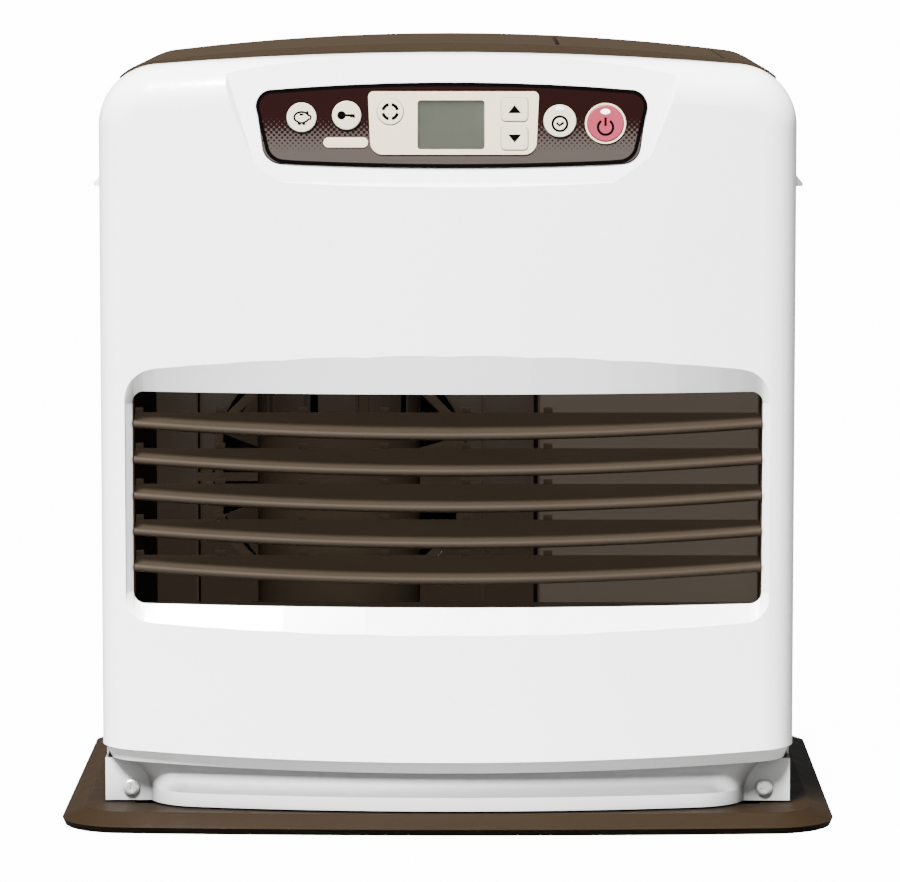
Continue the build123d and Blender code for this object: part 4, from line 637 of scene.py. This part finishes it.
class HEATER_OT_cabinet(bpy.types.Operator):
    """Finish the white cabinet, the brown top and the drip tray"""

    bl_idname = "heater.cabinet"
    bl_label = "Cabinet"

    def execute(self, context):
        colours = context.scene.heater_colours
        enamel = enamel_finish("white_enamel", colours.enamel, 0.30, 0.4, 0.04)
        for node in ("front_panel", "left_side_panel", "right_side_panel"):
            dress(node, enamel)
        # Painted shade: the rear panel's inner face, seen through the outlet, is coloured like the
        # dark louvres
        rear_inside_shade = shade(colours.louvre, 0.9)
        dress("rear_panel", enamel_finish("rear_enamel", colours.enamel, inside=rear_inside_shade))
        # Painted shade: the lower skirt is a darker copy of the cabinet enamel, as if shadowed
        # under the panel's lower edge
        skirt_shade_colour = shade(colours.enamel, 0.57)
        skirt = enamel_finish("skirt_enamel_shaded", skirt_shade_colour, 0.45, 0.0, 0.04, 0.3, 0.19)
        dress("lower_skirt", skirt)
        dress("side_grips", grained_plastic("white_plastic", shade(colours.enamel, 0.98), 0.42))
        top = grained_plastic("brown_top", colours.top, 0.75, gloss=0.03)
        for node in ("top_plate", "tank_lid"):
            dress(node, top)
        dress("drip_tray", enamel_finish("tray_enamel", colours.tray, 0.55, 0.0, 0.12, 0.05))
        dress("base_feet", soft_rubber("foot_rubber", (0.02, 0.02, 0.02)))
        dress("base_pan", sheet_metal("zinc_plate", (0.60, 0.61, 0.60), 0.35, (1, 1, 1), 120.0))
        dress("corner_screws", sheet_metal("screw_steel", (0.9, 0.9, 0.89), 0.3, (1, 1, 4)))
        dress("lid_hinge_pins", sheet_metal("pin_steel", (0.7, 0.7, 0.69), 0.25, (1, 6, 1)))
        return {"FINISHED"}


class HEATER_OT_outlet(bpy.types.Operator):
    """Finish the louvres, their frame and what shows behind them"""

    bl_idname = "heater.outlet"
    bl_label = "Outlet"

    def execute(self, context):
        colours = context.scene.heater_colours
        dark = louvre_finish("louvre_enamel", colours.louvre)
        for node in ("louvres", "louvre_frame"):
            dress(node, dark)
        # Painted shade: the shroud, bracket, heat box, fan and motor behind the louvres take the
        # louvres' dark colour
        duct = louvre_finish("duct_painted_shade", shade(colours.louvre, 0.95))
        for node in ("fan_shroud", "fan_bracket", "heat_box", "convection_fan", "fan_motor"):
            dress(node, duct)
        dress("heat_shield", louvre_finish("shield_enamel", colours.shield))
        chamber = heated_steel("chamber_steel", (0.011, 0.0082, 0.0056), 0.10, 0.30)
        dress("combustion_chamber", chamber)
        dress("burner_head", heated_steel("head_steel", (0.20, 0.16, 0.12), 0.09, 0.13))
        dress("burner_pot", cast_metal("pot_iron", (0.09, 0.085, 0.08)))
        white = grained_plastic("white_ceramic", (0.68, 0.66, 0.6), 0.6, 500.0)
        for node in ("igniter", "flame_sensor"):
            dress(node, white)
        return {"FINISHED"}


class HEATER_OT_controls(bpy.types.Operator):
    """Finish the fascia, the buttons and the display"""

    bl_idname = "heater.controls"
    bl_label = "Controls"

    def fascia_edge(self, inset):
        """The fascia's outline on the facet, drawn in by inset, in millimetres."""
        half_top, half_foot, corner_top, corner_foot = 107.0 - inset, 101.6 - inset, 8.0, 10.0
        top, top_ends, foot, foot_ends = 55.4 - inset, 50.6 - inset, 9.0 + inset, 11.7 + inset
        lean = math.degrees(math.atan2(half_top - half_foot, top_ends - foot_ends))
        low_middle = (half_foot - corner_foot, foot_ends + corner_foot - 0.3)
        high_middle = (half_top - corner_top - 0.6, top_ends - corner_top + 0.8)
        right = arc_line(low_middle, corner_foot, -88, -lean, 12)
        right += arc_line(high_middle, corner_top, -lean, 86, 12)
        high = []
        for index in range(1, 40):
            x = 96.0 * (1 - index / 20)
            high.append((x, top - (top - top_ends) * (x / half_top) ** 2))
        left = [(-x, y) for x, y in reversed(right)]
        low = []
        for index in range(1, 40):
            x = -90.0 * (1 - index / 20)
            low.append((x, foot + (foot_ends - foot) * (x / half_foot) ** 2))
        return right + high + left + low

    def execute(self, context):
        colours = context.scene.heater_colours
        sizes = context.scene.heater_sizes
        fascia_print = fascia_finish(
            "fascia_print", colours.fascia_dark, colours.fascia_light, sizes.halftone_pitch
        )
        dress("control_fascia", fascia_print)
        dress("fascia_trims", grained_plastic("cream_plastic", colours.cream, 0.42, 1400.0, 0.08))
        pale = grained_plastic("button_plastic", colours.button, 0.42, 1400.0, 0.08)
        for node in BUTTONS:
            dress(node, pale)
        dress("power_button", grained_plastic("pink_plastic", colours.pink, 0.3, 1400.0, 0.05))
        dress("display_window", clear_finish("display_glass", (0.9, 0.92, 0.9)))
        dress("display_module", display_finish("display_crystal"))
        dress("control_board", board_finish("control_board_green"))
        black = grained_plastic("black_plastic", (0.016, 0.016, 0.017), 0.45)
        for node in (
            "tact_switches", "tank_handle", "cord_gland", "room_sensor", "ignition_transformer",
            "tip_over_switch", "fan_guard",
        ):
            dress(node, black)
        dress("power_board", board_finish("power_board_green"))
        border = raised_line([(self.fascia_edge(BORDER_INSET), True)], BORDER_WIDTH, BORDER_PROUD)
        on_facet(border, 0, 0, BORDER_TOP)
        ink = grained_plastic("border_black", (0.0012, 0.0009, 0.0009), 0.8, gloss=0.0)
        settle(border, "fascia_border", ink, "cabinet")
        return {"FINISHED"}


class HEATER_OT_signs(bpy.types.Operator):
    """Raise the printed signs and set the lamps on the buttons"""

    bl_idname = "heater.signs"
    bl_label = "Signs and lamps"

    def print_on(self, button, piece, ink):
        """Puts a sign on its button, to ride with it."""
        x, y = BUTTONS[button]
        on_facet(piece, x, y, CAP_TOP)
        settle(piece, button.replace("_button", "_sign"), ink, button)

    def execute(self, context):
        sizes = context.scene.heater_sizes
        line = sizes.sign_line
        proud = sizes.sign_proud
        ink = grained_plastic("sign_ink", (0.0012, 0.0009, 0.0008), 0.8, 1500.0, 0.03, 0.0)
        power = [(arc_line((0, -2.2), 4.1, 125, 415, 44), False), ([(0, 3.1), (0, -1.5)], False)]
        self.print_on("power_button", raised_line(power, line, proud), ink)
        clock = [(arc_line((0, -1.6), 4.0, 0, 348.75, 31), True)]
        clock += [([(-1.9, -1.1), (-0.2, -2.5), (2.2, -0.9)], False)]
        self.print_on("timer_button", raised_line(clock, line, proud), ink)
        starts = (12, 102, 192, 282)
        ring = [(arc_line((0, 0), 4.0, start, start + 66, 14), False) for start in starts]
        self.print_on("ring_button", raised_line(ring, line * 1.3, proud), ink)
        key = [(arc_line((-2.8, 0), 1.7, 0, 345, 23), True)]
        key += [(arc_line((-2.8, 0), 0.5, 0, 330, 11), True)]
        key += [([(-1.1, 0), (4.4, 0)], False)]
        key += [([(3.9, 0), (3.9, -1.4)], False), ([(2.5, 0), (2.5, -1.2)], False)]
        self.print_on("lock_button", raised_line(key, line, proud), ink)
        body = []
        for start, end, steps in ((-75, -20, 6), (20, 200, 16), (215, 255, 5)):
            body += arc_line((0, 0), 1, start, end, steps)
        pig = [(4.0 * x, 2.9 * y) for x, y in body]
        pig[7:7] = [(5.0, -0.9), (5.0, 0.7)]
        pig += [(-1.9, -3.9), (-0.8, -3.9), (-0.5, -3.0), (0.5, -3.0), (0.8, -3.9), (1.9, -3.9)]
        slot = [([(-1.2, 1.5), (1.0, 1.5)], False), ([(2.4, 2.2), (3.1, 3.4), (3.5, 1.5)], False)]
        self.print_on("economy_button", raised_line([(pig, True)] + slot, line * 0.8, proud), ink)
        up = raised_shape([(-3.6, -2.0), (3.6, -2.0), (0, 2.4)], proud)
        self.print_on("up_button", up, ink)
        down = raised_shape([(-3.6, 2.0), (0, -2.4), (3.6, 2.0)], proud)
        self.print_on("down_button", down, ink)
        lenses = (
            ("power_button", "power_lamp", (1.0, 0.97, 0.97), 0.6),
            ("timer_button", "timer_lamp", (0.55, 0.58, 0.72), 0.0),
        )
        for button, name, colour, strength in lenses:
            deselect_all()
            bpy.ops.mesh.primitive_uv_sphere_add(segments=32, ring_count=16, radius=1)
            piece = bpy.context.object
            bpy.ops.object.mode_set(mode="EDIT")
            bpy.ops.mesh.select_all(action="SELECT")
            bpy.ops.mesh.bisect(
                plane_co=(0, 0, 0), plane_no=(0, 0, 1), clear_inner=True, use_fill=True
            )
            bpy.ops.object.mode_set(mode="OBJECT")
            piece.scale = LENS_HALF_SIZE
            x, y = BUTTONS[button]
            on_facet(piece, x, y + LENS_ABOVE_MIDDLE, CAP_TOP - LENS_SUNK)
            settle(piece, name, glow_finish(name, colour, strength), button)
            bpy.ops.object.shade_smooth_by_angle(angle=math.radians(40))
        return {"FINISHED"}


class HEATER_OT_innards(bpy.types.Operator):
    """Finish the fans, the fuel system and the electrics"""

    bl_idname = "heater.innards"
    bl_label = "Innards"

    def execute(self, context):
        steel = sheet_metal("tank_steel", (0.52, 0.53, 0.53), 0.4, (1, 1, 0.05))
        for node in (
            "fuel_tank", "sump_tank", "blower_motor", "blower_housing", "air_tube", "fuel_pump",
            "tip_weight",
        ):
            dress(node, steel)
        grey = grained_plastic("grey_plastic", (0.10, 0.102, 0.105), 0.5)
        for node in ("blower_wheel", "air_filter"):
            dress(node, grey)
        dress("tank_cap", grained_plastic("red_plastic", (0.42, 0.02, 0.015), 0.4))
        dress("fuel_pipe", sheet_metal("brass_pipe", (0.62, 0.44, 0.18), 0.3, (0.1, 1, 1)))
        deselect_all()
        bpy.ops.mesh.primitive_cylinder_add(
            vertices=96, radius=GAUZE_RADIUS, depth=GAUZE_THICK, location=GAUZE_PLACE,
            rotation=(math.pi / 2, 0, 0),
        )
        bpy.ops.object.mode_set(mode="EDIT")
        bpy.ops.mesh.inset(thickness=GAUZE_RIM, depth=0)
        bpy.ops.object.mode_set(mode="OBJECT")
        gauze = gauze_finish("gauze", (0.02, 0.02, 0.021))
        settle(bpy.context.object, "filter_gauze", gauze, "filter")
        clear = clear_finish("clear_plastic", (0.85, 0.88, 0.86), 0.12)
        for node in ("fuel_strainer", "tank_gauge"):
            dress(node, clear)
        return {"FINISHED"}


class HEATER_OT_stage(bpy.types.Operator):
    """Lay the pale floor, set the soft studio lights and the camera"""

    bl_idname = "heater.stage"
    bl_label = "Stage"

    def sun(self, name, strength, aim, pieces, state, glossy):
        """A soft sun, tilted to the front and turned aside, on these pieces or on all but them."""
        tilt, turn, spread = aim
        lamp = bpy.data.lights.new(name, "SUN")
        lamp.energy = strength
        lamp.angle = math.radians(spread)
        holder = bpy.data.objects.new(name, lamp)
        bpy.context.scene.collection.objects.link(holder)
        holder.rotation_euler = (math.radians(tilt), 0, math.radians(turn))
        holder.visible_glossy = glossy
        lit = bpy.data.collections.new(name + "_pieces")
        for piece in pieces:
            lit.objects.link(piece)
        holder.light_linking.receiver_collection = lit
        for link in lit.collection_objects:
            link.light_linking.link_state = state
        return holder

    def execute(self, context):
        scene = context.scene
        deselect_all()
        stage = scene.heater_stage
        size = scene.heater_sizes.floor_size
        bpy.ops.mesh.primitive_grid_add(x_subdivisions=8, y_subdivisions=8, size=size)
        floor = context.object
        floor.name = "studio_floor"
        material, nodes, links, shader, place = new_finish("studio_floor")
        tone = noise(nodes, links, place, 1.5)
        tint = mix_colour(nodes, links, tone, (0.93, 0.93, 0.93), (0.95, 0.95, 0.95))
        links.new(tint, shader.inputs["Base Color"])
        shader.inputs["Roughness"].default_value = 0.9
        shader.inputs["Specular IOR Level"].default_value = 0.1
        seen = nodes.new("ShaderNodeLightPath").outputs["Is Camera Ray"]
        shader.inputs["Emission Color"].default_value = (1, 1, 1, 1)
        glow = ramp(nodes, links, seen, 0.0, 1.0, 0.0, stage.floor_glow)
        links.new(glow, shader.inputs["Emission Strength"])
        floor.data.materials.append(material)
        floor.location = (0, 0, -FLOOR_DROP)
        outlet = [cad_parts[node] for node in OUTLET]
        aim = (90 - stage.sun_height, OBJECT_SUN_TURN, OBJECT_SUN_SPREAD)
        self.sun("object_sun", stage.sun, aim, [floor], "EXCLUDE", True)
        self.sun("front_sun", stage.front_sun, FRONT_SUN_AIM, [floor], "EXCLUDE", False)
        inner = self.sun("outlet_sun", stage.outlet_sun, OUTLET_SUN_AIM, outlet, "INCLUDE", False)
        # The cabinet doesn't shade the outlet's light: only the floor does
        blockers = bpy.data.collections.new("outlet_sun_blockers")
        blockers.objects.link(floor)
        inner.light_linking.blocker_collection = blockers
        self.sun("floor_sun", stage.floor_sun, FLOOR_SUN_AIM, [floor], "INCLUDE", True)
        world = bpy.data.worlds.new("studio")
        scene.world = world
        world.use_nodes = True
        sky = world.node_tree.nodes["Background"]
        sky.inputs["Strength"].default_value = stage.ambient
        sky.inputs["Color"].default_value = (1, 1, 1, 1)
        camera = bpy.data.cameras.new("photo_camera")
        camera.lens = CAMERA_LENS
        camera.sensor_width = 36
        camera.clip_end = CAMERA_REACH
        holder = bpy.data.objects.new("photo_camera", camera)
        scene.collection.objects.link(holder)
        holder.location = CAMERA_PLACE
        holder.rotation_euler = (math.radians(CAMERA_TILT), 0, math.radians(CAMERA_TURN))
        scene.camera = holder
        return {"FINISHED"}


class HEATER_PT_panel(bpy.types.Panel):
    """Lists the heater's pieces and their colours and sizes."""

    bl_idname = "HEATER_PT_panel"
    bl_label = "Paraffin heater"
    bl_space_type = "VIEW_3D"
    bl_region_type = "UI"
    bl_category = "Heater"

    def draw(self, context):
        scene = context.scene
        for group in (scene.heater_colours, scene.heater_sizes, scene.heater_stage):
            for name in group.__annotations__:
                self.layout.prop(group, name)
        for operator in OPERATORS:
            self.layout.operator(operator.bl_idname)


OPERATORS = (
    HEATER_OT_cabinet,
    HEATER_OT_outlet,
    HEATER_OT_controls,
    HEATER_OT_signs,
    HEATER_OT_innards,
    HEATER_OT_stage,
)
CLASSES = (HeaterColours, HeaterSizes, HeaterStage, *OPERATORS, HEATER_PT_panel)


def register():
    """Makes the classes and their settings known."""
    for item in CLASSES:
        bpy.utils.register_class(item)
    bpy.types.Scene.heater_colours = bpy.props.PointerProperty(type=HeaterColours)
    bpy.types.Scene.heater_sizes = bpy.props.PointerProperty(type=HeaterSizes)
    bpy.types.Scene.heater_stage = bpy.props.PointerProperty(type=HeaterStage)


def unregister():
    """Takes the classes and their settings away again."""
    del bpy.types.Scene.heater_stage
    del bpy.types.Scene.heater_sizes
    del bpy.types.Scene.heater_colours
    for item in reversed(CLASSES):
        bpy.utils.unregister_class(item)


def main():
    """Runs every step in order."""
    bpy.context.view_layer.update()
    register()
    bpy.ops.heater.cabinet()
    bpy.ops.heater.outlet()
    bpy.ops.heater.controls()
    bpy.ops.heater.signs()
    bpy.ops.heater.innards()
    bpy.ops.heater.stage()


if __name__ == "__main__":
    main()
